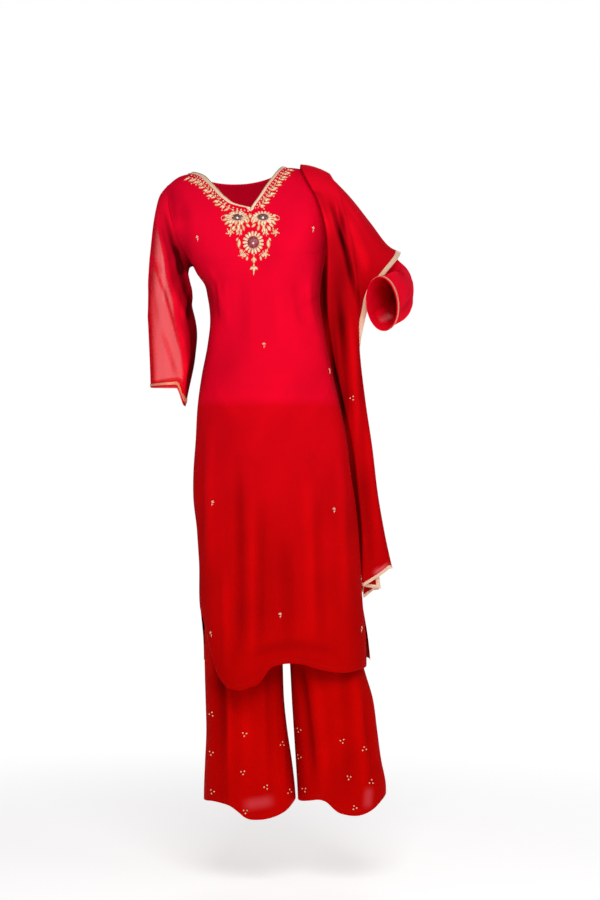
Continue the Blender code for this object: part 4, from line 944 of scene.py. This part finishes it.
def shawl_columns():
    """The dupatta's cross-section, from its inner selvage to its outer one: four layers laid zigzag, with
    round folds between them. The columns say how much of the left folds', the right fold's and the outer
    selvage's place each takes, its own shift across, its shift in layer distances, its height in layer
    distances above the inmost layer, and how far down its end hangs."""
    columns = []

    def layer(starts, ends, height, parts, low, high):
        share = linspace(0, 1, parts + 1)[:, None]
        mix = np.array(starts) + (np.array(ends) - np.array(starts)) * share
        columns.append(np.hstack([mix, np.full_like(share, height), low + (high - low) * share]))

    def fold(side, height, radius, low):
        over = 90 if side < 0 and height > 2 else -90
        turn = radians(linspace(-over, over, 9)[1:-1])
        out = side * (radius * cos(turn) - radius)
        parts = (side < 0, side > 0, 0, 0, out, height + radius * sin(turn), low)
        columns.append(stack(np.broadcast_arrays(*parts), axis=-1))

    inner, inner_hem = (0.46, 0.54, 0, 0, 0), (0.46, 0.54, 0, -SHAWL_BORDER, 0)
    left, right = (1, 0, 0, 0, 0.5), (0, 1, 0, 0, -1)
    outer_hem, outer = (0, 0, 1, -1.3 * SHAWL_BORDER, 0), (0, 0, 1, 0, 0)
    layer(inner, inner_hem, 2, 4, -0.868, -0.868)
    layer(inner_hem, left, 2, 9, -0.868, -0.864)
    fold(-1, 2.5, 0.5, -0.863)
    layer(left, right, 3, 24, -0.862, -0.828)
    fold(1, 2, 1, -0.826)
    layer(right, left, 1, 16, -0.822, -0.864)
    fold(-1, 0.5, 0.5, -0.876)
    layer(left, outer_hem, 0, 36, -0.889, -0.873)
    layer(outer_hem, outer, 0, 4, -0.873, -0.872)
    columns = concatenate(columns)
    return columns[np.append(True, np.abs(np.diff(columns, axis=0)).max(axis=1) > 1e-9)]


# the dupatta's creases run from the shoulder and fan out; all its layers share them
FRONT_FALL_CREASES = mm(
    (122, -14, 157, -115, -3, 7, -5.2), (140, -16, 172, -150, -4, 9, 4.6), (158, -20, 178, -110, -3, 7, -3),
    (166, -24, 206, -195, -4, 8, -7.6), (178, -34, 210, -180, -5, 6, 4),
    (187, -44, 238, -300, -10, 10, -9.5), (205, -66, 262, -240, -4, 20, 5.8),
    (232, -100, 292, -205, -3, 12, -2.2), (250, -120, 300, -190, -2, 10, 2.6),
    (186, -230, 206, -560, 4, 10, -5.6), (206, -250, 228, -620, 4, 11, 5.6),
    (222, -300, 242, -560, 3, 8, -3.6), (236, -480, 276, -850, 4, 14, 3), (226, -560, 258, -860, 3, 9, -1.4),
    (258, -600, 300, -850, 3, 9, -1.6))
# where the front fall is painted darker as shade, where its layers crowd together against the kameez
FRONT_FALL_PAINTED_SHADE = mm(
    (172, -105, 198, -420, 4, 34, -5.8), (172, -300, 206, -580, 1, 10, -6),
    (128, -15, 166, -125, 0, 14, -3.6))
# near its end, where light comes through
FRONT_FALL_THIN = mm((258, -838, 300, -816, 0, 7, 850))
BACK_FALL_CREASES = mm(
    (128, -30, 120, -400, 6, 11, 4.6), (146, -40, 140, -600, 6, 10, -4.4), (166, -50, 168, -700, 6, 12, 5),
    (186, -60, 190, -620, -4, 10, -4.4), (208, -80, 212, -400, -8, 14, 5),
    (236, -110, 226, -360, -8, 12, -5), (268, -150, 246, -340, -6, 12, 4.4),
    (150, -560, 150, -860, 4, 12, 4), (190, -600, 204, -860, 4, 10, -3.6))
# where the back fall is painted darker as shade
BACK_FALL_PAINTED_SHADE = mm((226, -260, 228, -480, 0, 26, -9), (226, -420, 262, -900, 4, 24, -10))
# painted shadow, on the back fall's inmost layer alone, which shows in the gap between the kameez and the
# front fall
GAP_PAINTED_SHADOW = mm(
    (160, -150, 166, -330, 0, 12, -12.5), (166, -260, 218, -580, 0, 13, -12.5),
    (212, -500, 250, -900, 0, 13, -7))
FALL_TABLES = {-1: (FRONT_FALL, FRONT_FALL_CREASES, FRONT_FALL_PAINTED_SHADE),
               1: (BACK_FALL, BACK_FALL_CREASES, BACK_FALL_PAINTED_SHADE)}
FALL_STEPS = np.append(linspace(0, 0.9908, 148)[1:], (0.9954, 1))[:, None]
TURN_ANGLES = radians(linspace(0, 90, 13))[:, None]


def shawl_grid(facing):
    """The dupatta's front or back fall, from its end up to the line where it turns over, and the depths
    of its creases with its painted shade added. Layers are stacked outwards from the inmost one, at
    distances that grow downwards."""
    table, ridges, painted_shade_table = FALL_TABLES[facing]
    left, right, selvage, shift, pitches, height, low = shawl_columns().T
    if facing > 0:
        low = low + BACK_END_HIGHER

    def across(z, pitch, edges=table):
        return (left * through(edges, 1, z) + right * through(edges, 2, z) + selvage * through(edges, 3, z)
                + shift + pitches * pitch)

    def depth(z, place):
        start, near, far = (through(table, c, z) for c in (1, 4, 5))
        return near + (far - near) * clip((place - start) / (TIP / 1000 - start), 0, 1) ** 1.3

    # both falls start from the same line, at the place across where the front fall meets the ridge
    x = np.full(len(left), 0.2)
    for _ in range(14):
        ridge = through(RIDGE, 1, x)
        x = 0.5 * x + 0.5 * across(ridge, PITCH[0], FRONT_FALL)
    ridge_y = through(RIDGE, 2, x)
    start = ridge - TURN_DOWN

    turn, turned = sin(TURN_ANGLES), 1 - cos(TURN_ANGLES)
    z = ridge - TURN_DOWN * turned
    pitch = PITCH[0] + (PITCH[1] - PITCH[0]) * turned
    place = x + (across(z, pitch) - x) * turn
    y = ridge_y + (depth(start, place) - ridge_y) * turn
    rise = pitch * height
    over = points(place, y + facing * rise * turn, z + rise * cos(TURN_ANGLES))

    z = start + (low - start) * FALL_STEPS
    pitch = PITCH[1] + (PITCH[2] - PITCH[1]) * ease(FALL_STEPS / 0.5)
    place = across(z, pitch)
    out = (creases(ridges, place, z) + unevenness(place, 0, z, 0.11, 0.001)) * ease(FALL_STEPS / 0.06)
    fall = points(place, depth(z, place) + facing * (pitch * height + out), z)
    # painted shade from the tables, and painted shadow in the gap on the back fall's inmost layer
    shade = creases(painted_shade_table, place, z) + (facing > 0) * (height < 0.6) * creases(GAP_PAINTED_SHADOW, place, z)
    return concatenate([over, fall])[::-1], concatenate([np.zeros(over.shape[:2]), out + shade])[::-1]


def shawl_cloth(grid, fold, *parts):
    """Parts of a fall joined as one sheet, with the depths of its creases and its painted shade."""
    cloth = Cloth(*(grid[part] for part in parts))
    cloth.given["fold"] = cloth.gather(concatenate([fold[part].ravel() for part in parts]))
    return cloth


shawl_pieces, falls = [], {}
for facing, word in FACES.items():
    grid, fold = (part[:, ::-facing] for part in shawl_grid(facing))
    # its ribbon is 4 columns wide along the selvages, and 2 rows along the end
    falls[facing] = cloth = shawl_cloth(grid, fold, np.s_[2:, 4:-4])
    if facing < 0:
        cloth.given["thin"] = creases(FRONT_FALL_THIN, cloth.at[:, 0], cloth.at[:, 2])
    shawl_pieces.append(cloth.piece(f"dupatta_{word}_cloth", SHAWL, "dupatta", [f"dupatta_{word}"]))
    ribbon = shawl_cloth(grid, fold, np.s_[:3], np.s_[2:, :5], np.s_[2:, -5:])
    ribbon.piece(f"dupatta_ribbon_{word}_zari", ZARI, "gold", [f"dupatta_ribbon_{word}"], 0.0016)

# ---- trims on the panels
BORDER_WIDE = {-1: 0.0135, 1: 0.0096}  # the neck border's width, level across its left and right side
STRIP_LOW = 0.4575  # the borders meet at a point under the V, in the rows beside the arms
TRIM_LIFT = 0.0012  # the middle of a ribbon above the middle of the cloth


def chest_strip(side, near, far):
    """A band of the chest along one edge of the V, from the shoulder down to a point under the V. Its
    columns run from `near` to `far` of the border's width away from the edge."""
    h = concatenate([linspace(1, NECK_LOW, 90), linspace(NECK_LOW, STRIP_LOW, 12)[1:]])[:, None]
    edge = front_edge_of_v(h, side)
    wide = BORDER_WIDE[side] * ease((h - STRIP_LOW) / (NECK_LOW - STRIP_LOW)) ** 0.5
    away = side * linspace(near, far, 9)[None, :] * wide / arm_frame(h, -1)[1] / cos(edge)
    return beside_arms(h, edge + away, -1)[::-1, ::side]


for name, near, far, material, lift, thick, nodes in (
        ("neck_ribbon", 0.05, 0.66, ZARI, TRIM_LIFT, RIBBON, ["neck_border"]),
        ("neck_edge_thread", -0.03, 0.06, EDGE_THREAD, 0.0016, 0.0012, [])):
    strip = Cloth(*(chest_strip(side, near, far) for side in SIDES))
    strip.lift(fold_height(strip, FRONT_CREASES) + lift).piece(name, material, "gold", nodes, thick)


def cuff_strip(grid, low, high):
    """The band of a sleeve between two distances from its cuff edge, as fine rows."""
    down = lengths_down(grid[::-1])
    rows = [np.interp(linspace(low, high, 5), down, column) for column in grid[::-1].reshape(len(grid), -1).T]
    return stack(rows, axis=1).reshape(5, grid.shape[1], 3)


for word, grid in (("right", hanging_grid[:, ::-1]), ("left", bent_grid)):
    strip = Cloth(cuff_strip(grid, 0.0045, 0.0105)).lift(TRIM_LIFT)
    strip.piece(f"cuff_ribbon_{word}", CUFF_ZARI, "gold", [f"cuff_trim_{word}"], RIBBON)


# ---- bead work
def grown(name, rings, material, nodes=()):
    """One joined mesh from many copies of a closed form. `rings` has a copy in its first axis, then the
    rings from one pole to the other, then the points round a ring. The poles' points are merged."""
    copies, count, around = rings.shape[:3]
    index = np.arange(count * around).reshape(count, around)
    after = np.roll(index, -1, axis=1)
    side = stack([index[:-1], after[:-1], after[1:], index[1:]], axis=-1).reshape(-1, 4)
    quads = (side[None] + (np.arange(copies) * count * around)[:, None, None]).reshape(-1, 4)
    mesh = bpy.data.meshes.new(name)
    mesh.from_pydata(rings.reshape(-1, 3).tolist(), [], quads.tolist())
    work = bmesh.new()
    work.from_mesh(mesh)
    bmesh.ops.remove_doubles(work, verts=work.verts, dist=1e-6)
    work.to_mesh(mesh)
    work.free()
    finish_piece(mesh, name, material, nodes)


BED = 0.0006  # what is sewn on starts this far out from the middle of the cloth
BEAD_WIDE = 0.0034  # diameter of the larger beads
CORD = 0.0011  # thickness of the couched threads


class Ground:
    """What bead work is sewn to: a cloth that rays are cast onto, from the front or the back."""

    def __init__(self, cloth, facing=-1):
        self.tree, self.facing = BVHTree.FromPolygons(cloth.at.tolist(), cloth.faces()), facing

    def find(self, places):
        """Points and outward normals on the cloth at across and height pairs, and which of them it has."""
        hits, normals, found = [], [], []
        for x, z in places:
            hit, normal = self.tree.ray_cast(Vector((x, self.facing, z)), Vector((0, -self.facing, 0)))[:2]
            found.append(hit is not None)
            hits.append(hit if found[-1] else (0, 0, 0))
            normals.append(normal if found[-1] else (0, -1, 0))
        normals = unit(np.array(normals, float))
        normals = normals * where(normals[:, 1:2] * self.facing < 0, -1, 1)
        return np.array(hits, float), normals, np.array(found)


def leaf_form(plump=1, count=7):
    """A leaf or drop along its first axis from 0 to 1: its width is a sine to a power, so that `plump`
    over 1 makes it rounder at the tips, and it is domed above and nearly flat below."""
    t, turn = linspace(0, 1, count)[:, None], whole_turn(8)
    wide = sin(pi * t) ** (1 / plump)
    return points(t, 0.5 * wide * cos(turn), wide * (where(sin(turn) > 0, 1, 0.25) * sin(turn)))


def ball_form(count=6, around=8):
    """A ball of diameter 1 that rests on its ground."""
    t, turn = linspace(0, pi, count)[:, None], whole_turn(around)
    return points(-0.5 * cos(t), 0.5 * sin(t) * cos(turn), 0.45 + 0.5 * sin(t) * sin(turn))


def sewn(ground, spots, form):
    """Copies of a form on the cloth. Each spot is across, height, turn in degrees from upright, length,
    width and height above the cloth, all in metres. A copy's axes are the turned upright laid on the
    cloth, what is square to that on the cloth, and the normal."""
    spots = np.array(spots, float)
    at, normal, found = ground.find(spots[:, :2])
    turn = radians(spots[:, 2])
    up = points(sin(turn) * -ground.facing, 0, cos(turn))
    along = unit(up - (up * normal).sum(axis=1, keepdims=True) * normal)
    out = (at + normal * BED)[found][:, None, None]
    for k, axis in enumerate((along, np.cross(normal, along), normal)):
        size = form[None, ..., k] * spots[found, 3 + k][:, None, None]
        out = out + axis[found][:, None, None] * size[..., None]
    return out


def cords(ground, lines):
    """Thin threads couched on the cloth, thin at their ends. Each line is from across, height, to across,
    height, and its bow to the left in metres; it runs along a parabola between them."""
    t = linspace(0, 1, 8)[None, :]
    xa, za, xb, zb, bow = np.array(lines, float).T[..., None]
    length = np.hypot(xb - xa, zb - za)
    x = xa + (xb - xa) * t - (zb - za) / length * 4 * bow * t * (1 - t)
    z = za + (zb - za) * t + (xb - xa) / length * 4 * bow * t * (1 - t)
    at, normal, found = ground.find(stack([x.ravel(), z.ravel()], axis=1))
    whole = found.reshape(x.shape).all(axis=1)
    at, normal = (part.reshape(*x.shape, 3)[whole] for part in (at, normal))
    beside = np.cross(normal, unit(np.gradient(at, axis=1)))
    turn = whole_turn(6)[:, None]
    radius = 0.5 * CORD * np.sqrt(maximum(1 - (2 * t - 1) ** 16, 0))[..., None, None]
    middle = (at + normal * (BED + 0.3 * CORD))[:, :, None]
    return middle + radius * (cos(turn) * beside[:, :, None] + sin(turn) * normal[:, :, None])


def ringed(x, z, angles, wide, high=None):
    """Places on a ring or an oval round a place, at angles from its right through its top."""
    return [(x + wide * cos(angle), z + (high or wide) * sin(angle)) for angle in angles]


def bead(x, z, wide, high):
    """The spot of something round."""
    return x, z, 0, wide, wide, high


def v_place(side, down, away):
    """Across and height of a place on the chest: `down` the V's edge from the shoulder as a share of its
    length, and `away` from the edge in metres across the cloth; and the edge's turn there, in degrees."""
    h = linspace(1, NECK_LOW, 200)
    line = beside_arms(h, front_edge_of_v(h, side), -1)[:, [0, 2]]
    length = lengths_down(line[:, None])

    def edge(share):
        return stack([np.interp(share * length[-1], length, column) for column in line.T], axis=1)

    down = np.atleast_1d(down)
    way = unit(edge(down + 0.02) - edge(down - 0.02))
    x, z = (edge(down) + way[:, ::-1] * (-side, side) * np.reshape(away, (-1, 1))).T
    return x, z, np.degrees(np.arctan2(way[:, 0], way[:, 1]))


def along_the_v():
    """The band beside the neck ribbon: a row of knots 7 mm apart, and outside it a waving stem with
    leaves on both sides every 8 mm, longer and shorter in turn, and a bead beyond every other one."""
    leaves, knots, beads, stems = [], [], [], []
    for side, length, gap in ((-1, 0.15, 0.0094), (1, 0.118, 0.0084)):
        count = int(length / 0.007)
        x, z, _ = v_place(side, (np.arange(count) + 0.5) / count, gap)
        knots += [bead(*place, 0.0034, 0.0024) for place in zip(x, z)]
        steps = int(length / 0.0078)
        share = (np.arange(steps) + 0.3) / steps
        wave = gap + 0.0052 + 0.0014 * sin(np.arange(steps) * 2.2)
        x, z, turn = v_place(side, share, wave)
        for k in range(steps - 1):
            stems.append((x[k], z[k], x[k + 1], z[k + 1], 0.0008 * (-1) ** k))
            grows = [(side * (48 + 10 * (k % 2)), (0.014, 0.0108, 0.0126)[k % 3], 0.0042, 0.0024),
                     (-side * (26 + 8 * (k % 2)), 0.0068, 0.0034, 0.002)]
            if k % 2 == 1:
                bx, bz, _ = v_place(side, share[k] + 0.01, wave[k] + 0.0112)
                beads.append(bead(bx[0], bz[0], BEAD_WIDE, 0.0026))
                grows.append((side * 92, 0.0092, 0.0036, 0.002))
            leaves += [(x[k], z[k], turn[k] + 180 + lean, *sizes) for lean, *sizes in grows]
    return leaves, knots, beads, stems


# the work below the V: out from its middle line, down from the V's point, turn from upright towards the
# outside, length, width. It is the same on both sides
SPRAYS = marks(
    (43, 14, 74, 10, 4.6), (44, 19, 104, 12, 4.8), (41, 23, 128, 13, 4.8), (35, 19.5, 148, 13, 5),
    (27, 21, 168, 13, 5), (19, 21, 190, 13, 5), (11, 19, 208, 13, 4.6), (6, 14, 194, 12, 3.8),
    (1.6, 8, 184, 11, 3.4), (2.6, 19, 172, 9, 3.6), (36, 30, 118, 11, 4.4), (31, 33, 142, 13, 4.8),
    (24, 34, 166, 14, 5.2), (17, 32, 196, 13, 4.8), (10, 30, 226, 11, 4.4), (38, 24, 92, 11, 4),
    (28, 31, 206, 11, 4.2), (20, 27, 150, 10, 4), (29, 61, 178, 18, 6), (30.5, 58, 150, 8, 3.4),
    (25, 81, 194, 8, 3.4), (13, 95, 172, 10, 4), (15.5, 91, 150, 8, 3.6), (33, 34, 138, 9, 3.6),
    (31.5, 40, 118, 8, 3.4), (29, 39, 174, 10, 3.8), (26.5, 47, 132, 8, 3.4), (25, 45, 204, 9, 3.4),
    (22, 40, 188, 8, 3.4))
PENDANT = marks(
    (0, 95, 180, 16, 5), (0, 99, 142, 8, 3.4), (0, 99, 218, 8, 3.4), (0, 116, 180, 12, 4.6),
    (0, 116, 132, 10, 4.6), (0, 116, 228, 10, 4.6), (0, 125, 184, 9, 2.2), (0, 116.5, 0, 5, 3))
# out, down, and petal length
FLOWERS = mm((45.4, 47, 6.6), (23, 92, 6.2))
LOOP = (0.0535, 0.018, 0.0047)  # out, down, and radius
# out and down, to out and down, and bow
VINE_LINES = mm(
    (30, 20, 44, 44, 2), (24, 20, 28, 58, -2), (12, 18, 17, 34, 1.5), (44, 15, 51, 17, 1),
    (28, 79, 24, 88, 1), (20, 90, 10, 95, -2))
V_POINT = -0.0945  # height of the V's point


def below(side, out, down):
    """A place below the V. The work's middle line stands 8 mm further left at the rosettes above than
    at the one below."""
    z = V_POINT - down
    return 0.0096 + 0.0077 * ease((-0.1103 - z) / 0.0524) + side * out, z


def spray(side, table):
    """The leaves of a table on one side."""
    return [(*below(side, out, down), side * turn, *sizes, 0.0019) for out, down, turn, *sizes in table]


def under_the_v():
    """The leaf sprays, small flowers, loops and pendant round the rosettes."""
    leaves, beads, stems = [], [], []
    for side in SIDES:
        leaves += spray(side, SPRAYS)
        for out, down, size in FLOWERS:
            x, z = below(side, out, down)
            leaves += [(x, z, 72 * k + 20, size, 0.0038, 0.0022) for k in range(5)]
            ring = ringed(x, z, radians(72 * np.arange(5) + 56), 0.0076)
            beads += [bead(x, z, BEAD_WIDE, BEAD_WIDE)] + [bead(*place, 0.0028, 0.0022) for place in ring]
        ring = ringed(*below(side, *LOOP[:2]), radians(60 * np.arange(6)), LOOP[2])
        stems += [(*a, *b, -0.0009) for a, b in zip(ring, ring[1:] + ring[:1])]
        for xa, za, xb, zb, bow in VINE_LINES:
            stems.append((*below(side, xa, za), *below(side, xb, zb), side * bow))
    beads += [bead(*below(1, 0, down), 0.0032, 0.0026) for down in (0.0935, 0.113)]
    return leaves + spray(1, PENDANT), beads, stems


# centre across and height, half width and half height of the rosettes, and their floss
ROSETTES = {
    "rosette_right": (-0.016, -0.1115, 0.0215, 0.0128, SILK),
    "rosette_left": (0.035, -0.1115, 0.021, 0.0128, SILK),
    "rosette_low": (0.016, -0.163, 0.0206, 0.023, WINE_SILK),
}
PETALS = 17  # round each rosette
PETAL_REACH = (0.56, 1.04)  # where the petals start and end, as shares of the rosette
DOME, KNOTS_AT = 0.55, 0.57  # the edge of the domed middle, and the ring of knots


def rosette(name, across, height, wide, high, silk):
    """A raised oval of floss under beads, ringed by couched petals that stand clear of each other. The
    spots of its small knots and of the pearl in its middle are returned."""
    angles = 2 * pi * (np.arange(PETALS) + 0.5) / PETALS
    feet, heads = (ringed(across, height, angles, part * wide, part * high) for part in PETAL_REACH)
    petals = []
    for a, foot, head in zip(angles, feet, heads):
        x, z = head[0] - foot[0], head[1] - foot[1]
        girth = 2 * pi * 0.84 * np.hypot(wide * sin(a), high * cos(a)) / PETALS
        petals.append((*foot, np.degrees(np.arctan2(x, z)), np.hypot(x, z), girth * 0.86, 0.0034))
    grown(f"{name}_petals", sewn(chest, petals, leaf_form(5, 10)), THREAD, [name])
    # the oval middle: rings of points cast onto the chest and raised as a dome
    share = sin(linspace(0, QUARTER, 9))
    rings = [ringed(across, height, whole_turn(32), DOME * wide * part, DOME * high * part) for part in share]
    at, normal, _ = chest.find(np.array(rings).reshape(-1, 2))
    dome = np.repeat(0.0006 + 0.003 * np.sqrt(maximum(1 - share ** 2, 0)), 32)[:, None]
    top, under = ((at + normal * rise).reshape(9, 32, 3) for rise in (dome, 0.0004))
    grown(f"{name}_middle", concatenate([top, under[::-1]])[None], silk)
    knots = ringed(across, height, whole_turn(26), KNOTS_AT * wide, KNOTS_AT * high)
    return [bead(*knot, 0.0024, 0.0032) for knot in knots], bead(across, height - 0.0022, 0.0048, 0.008)


chest, LEAF, BALL = Ground(front), leaf_form(), ball_form()
leaves, knots, beads, stems = along_the_v()
for kept, more in zip((leaves, beads, stems), under_the_v()):
    kept += more
pearls = []
for name, sizes in ROSETTES.items():
    dots, pearl = rosette(name, *sizes)
    beads += dots
    pearls.append(pearl)
outlines = [(x, z, turn, long * 1.1, wide * 1.45, 0.0008) for x, z, turn, long, wide, _ in leaves]
for name, spots, form, material in (
        ("neck_leaves", leaves, LEAF, THREAD), ("neck_outlines", outlines, LEAF, COPPER),
        ("neck_knots", knots, BALL, THREAD), ("neck_beads", beads, BALL, BEAD),
        ("neck_pearls", pearls, ball_form(9, 14), PEARL)):
    grown(name, sewn(chest, spots, form), material)
grown("neck_stems", cords(chest, stems), THREAD)

# ---- scattered sprigs and beads
# across and height of the sprigs on the front and back of the kameez, and the lean of each in degrees
FRONT_SPRIGS = marks(
    (-97.7, -150.5, -10), (136.4, -132, 8), (37.3, -368, 0), (170.5, -417.9, -6), (-67.2, -687.3, 18),
    (178.8, -701.5, 0), (69.9, -911, 0), (235.6, -945.4, 6), (-70.3, -952.7, -12))
BACK_SPRIGS = marks(
    (-60, -160, 10), (90, -150, -8), (20, -340, 0), (-50, -520, 10), (130, -520, -8), (40, -700, 0),
    (-60, -880, 12), (160, -860, -8), (60, -980, 0))


def sprigs(name, ground, places):
    """Small flower sprigs 13 mm high: a stem with a leaf, and three petals over it round a bead."""
    leaves, beads = [], []
    for x, z, lean in places:
        up = np.array([sin(radians(lean)), cos(radians(lean))])
        foot, head = np.array([x, z]) - 0.007 * up, np.array([x, z]) + 0.001 * up
        leaves += [(*foot, lean, 0.008, 0.0013, 0.001), (*head, lean, 0.0052, 0.0026, 0.0014),
                   (*head, lean - 62, 0.0046, 0.0024, 0.0014), (*head, lean + 62, 0.0046, 0.0024, 0.0014),
                   (*(foot + 0.003 * up), lean + 48, 0.0042, 0.0017, 0.0012)]
        beads.append(bead(*(head + 0.0002 * up), 0.0021, 0.0022))
    grown(name, sewn(ground, leaves, LEAF), THREAD)
    grown(f"{name}_beads", sewn(ground, beads, BALL), BEAD)


seat = Ground(back, 1)
sprigs("front_sprigs", chest, FRONT_SPRIGS)
sprigs("back_sprigs", seat, BACK_SPRIGS)

# clusters of three beads on the trousers, by side and facing: across, height and turn in degrees
LEG_BEADS = {
    (-1, -1): marks(
        (-2.3, -1155.8, 20), (72.6, -1180.1, 80), (-69.8, -1197.7, 140), (-5.8, -1233.8, 40),
        (41, -1263.8, 60), (-67.5, -1275.4, 10), (87.5, -1277.8, 90), (-0.9, -1312.8, 30),
        (-69.5, -1118.6, 70)),
    (1, -1): marks(
        (109, -1152.5, 15), (195.2, -1170.6, 45), (239.6, -1187.3, 100), (109.6, -1208.4, 130),
        (209.4, -1244.6, 20), (253.9, -1255, 80), (120.2, -1272.7, 50), (220.9, -1305.3, 110)),
    (-1, 1): marks((-40, -1160, 30), (40, -1180, 80), (-10, -1230, 10), (60, -1260, 60)),
    (1, 1): marks((140, -1150, 30), (210, -1180, 80), (170, -1230, 10), (240, -1260, 60)),
}
FALL_BEADS = {
    -1: marks((217.5, -473.5, 60)),
    1: marks((140, -300, 20), (175, -480, 70), (150, -680, 40), (200, -780, 0)),
}


def threes(name, ground, places):
    """Clusters of three beads, each 3.4 mm across and 4 mm from the middle of its cluster."""
    beads = [bead(*spot, BEAD_WIDE, 0.0026) for x, z, turn in places
             for spot in ringed(x, z, radians(turn + 120 * np.arange(3)), 0.004)]
    grown(name, sewn(ground, beads, BALL), BEAD)


for which, places in LEG_BEADS.items():
    threes(f"trouser_{SIDES[which[0]]}_{FACES[which[1]]}_beads", Ground(legs[which], which[1]), places)
for facing, word in FACES.items():
    threes(f"dupatta_{word}_beads", Ground(falls[facing], facing), FALL_BEADS[facing])

# ---- stitches
STITCH_GAP = 0.0052  # from one stitch to the next
HEM_DEEP = 0.01  # the stitches are this far above a hem's edge


def hem_stitches(name, ground, low, high, hem):
    """Running stitches along a hem, 3.2 mm long."""
    x = np.arange(low, high, STITCH_GAP)
    ahead = np.degrees(np.arctan2(STITCH_GAP, hem(x + STITCH_GAP) - hem(x)))
    spots = [(*place, 0.0032, 0.0006, 0.0004) for place in zip(x, hem(x) + HEM_DEEP, ahead)]
    grown(name, sewn(ground, spots, LEAF), SEWING, ())


def leg_hem(table, outer, inner):
    """The height of a leg's front hem at a place across."""
    return lambda x: through(table, 1, clip((x - outer) / (inner - outer), 0, 1))


hem_stitches("kameez_front_hem", chest, -0.02, 0.236, lambda x: through(FRONT_HEM, 1, x))
hem_stitches("kameez_back_hem", seat, -0.08, 0.24, lambda x: BACK_HEM + 0 * x)
for side, low, high, hem in ((-1, -0.08, 0.096, leg_hem(LEFT_HEM, -0.0855, 0.1035)),
                             (1, 0.112, 0.276, leg_hem(RIGHT_HEM, 0.283, 0.107))):
    hem_stitches(f"trouser_{SIDES[side]}_hem", Ground(legs[side, -1]), low, high, hem)

# ---- floor and light
WHITE = (1, 1, 1, 1)
floor_mesh = bpy.data.meshes.new("floor")
rim = [(0.05 + 14 * cos(t), 14 * sin(t), FLOOR) for t in whole_turn(96)]
floor_mesh.from_pydata(rim, [], [list(range(96))])
floor = placed("floor", floor_mesh)
# a pale floor that glows: at half strength near the garment, and fully white beyond 2 m, where it runs
# into the white of the studio
made, tree, shader, place = bare("pale_floor", {
    "Roughness": 0.6, "Specular IOR Level": 0.1, "Emission Color": WHITE})
away = node(tree, "VectorMath", {"operation": "LENGTH"}, in_0=place["Object"])
far = node(tree, "MapRange", {"interpolation_type": "SMOOTHSTEP", "From Min": 1.5, "From Max": 2.6},
           Value=away.outputs["Value"])
feed(ramp(tree, far, [(0, "F2F2F2"), (1, "000000")]), shader.inputs["Base Color"])
feed(node(tree, "MapRange", {"To Min": 0.5, "To Max": 1}, Value=far), shader.inputs["Emission Strength"])
floor_mesh.materials.append(made)


def soft_light(name, at, aim, size, power):
    """A white square area light at a place, aimed at a point."""
    lamp = bpy.data.lights.new(name, "AREA")
    lamp.shape, lamp.size, lamp.energy = "SQUARE", size, power
    thing = placed(name, lamp)
    thing.location = at
    thing.rotation_euler = (Vector(aim) - Vector(at)).to_track_quat("-Z", "Y").to_euler()


soft_light("front_box", (0.3, -2.3, 0.75), (0.05, 0, -0.45), 1.3, 41)
soft_light("fill_right", (2.4, -1.6, 0.3), (0.1, 0, -0.6), 1.6, 7)
soft_light("behind", (0.6, 2.8, 0.9), (0.05, 0, -0.6), 1.8, 16)

# the studio is white to the camera, and lights the cloth softly
world = bpy.data.worlds.new("studio")
bpy.context.scene.world = world
world.use_nodes = True
tree = world.node_tree
dim = tree.nodes["Background"]
dim.inputs["Color"].default_value = WHITE
dim.inputs["Strength"].default_value = 0.22
white = node(tree, "Background", {"Color": WHITE, "Strength": 1})
mixed = node(tree, "MixShader", in_0=node(tree, "LightPath").outputs["Is Camera Ray"], in_1=dim, in_2=white)
feed(mixed, tree.nodes["World Output"].inputs["Surface"])
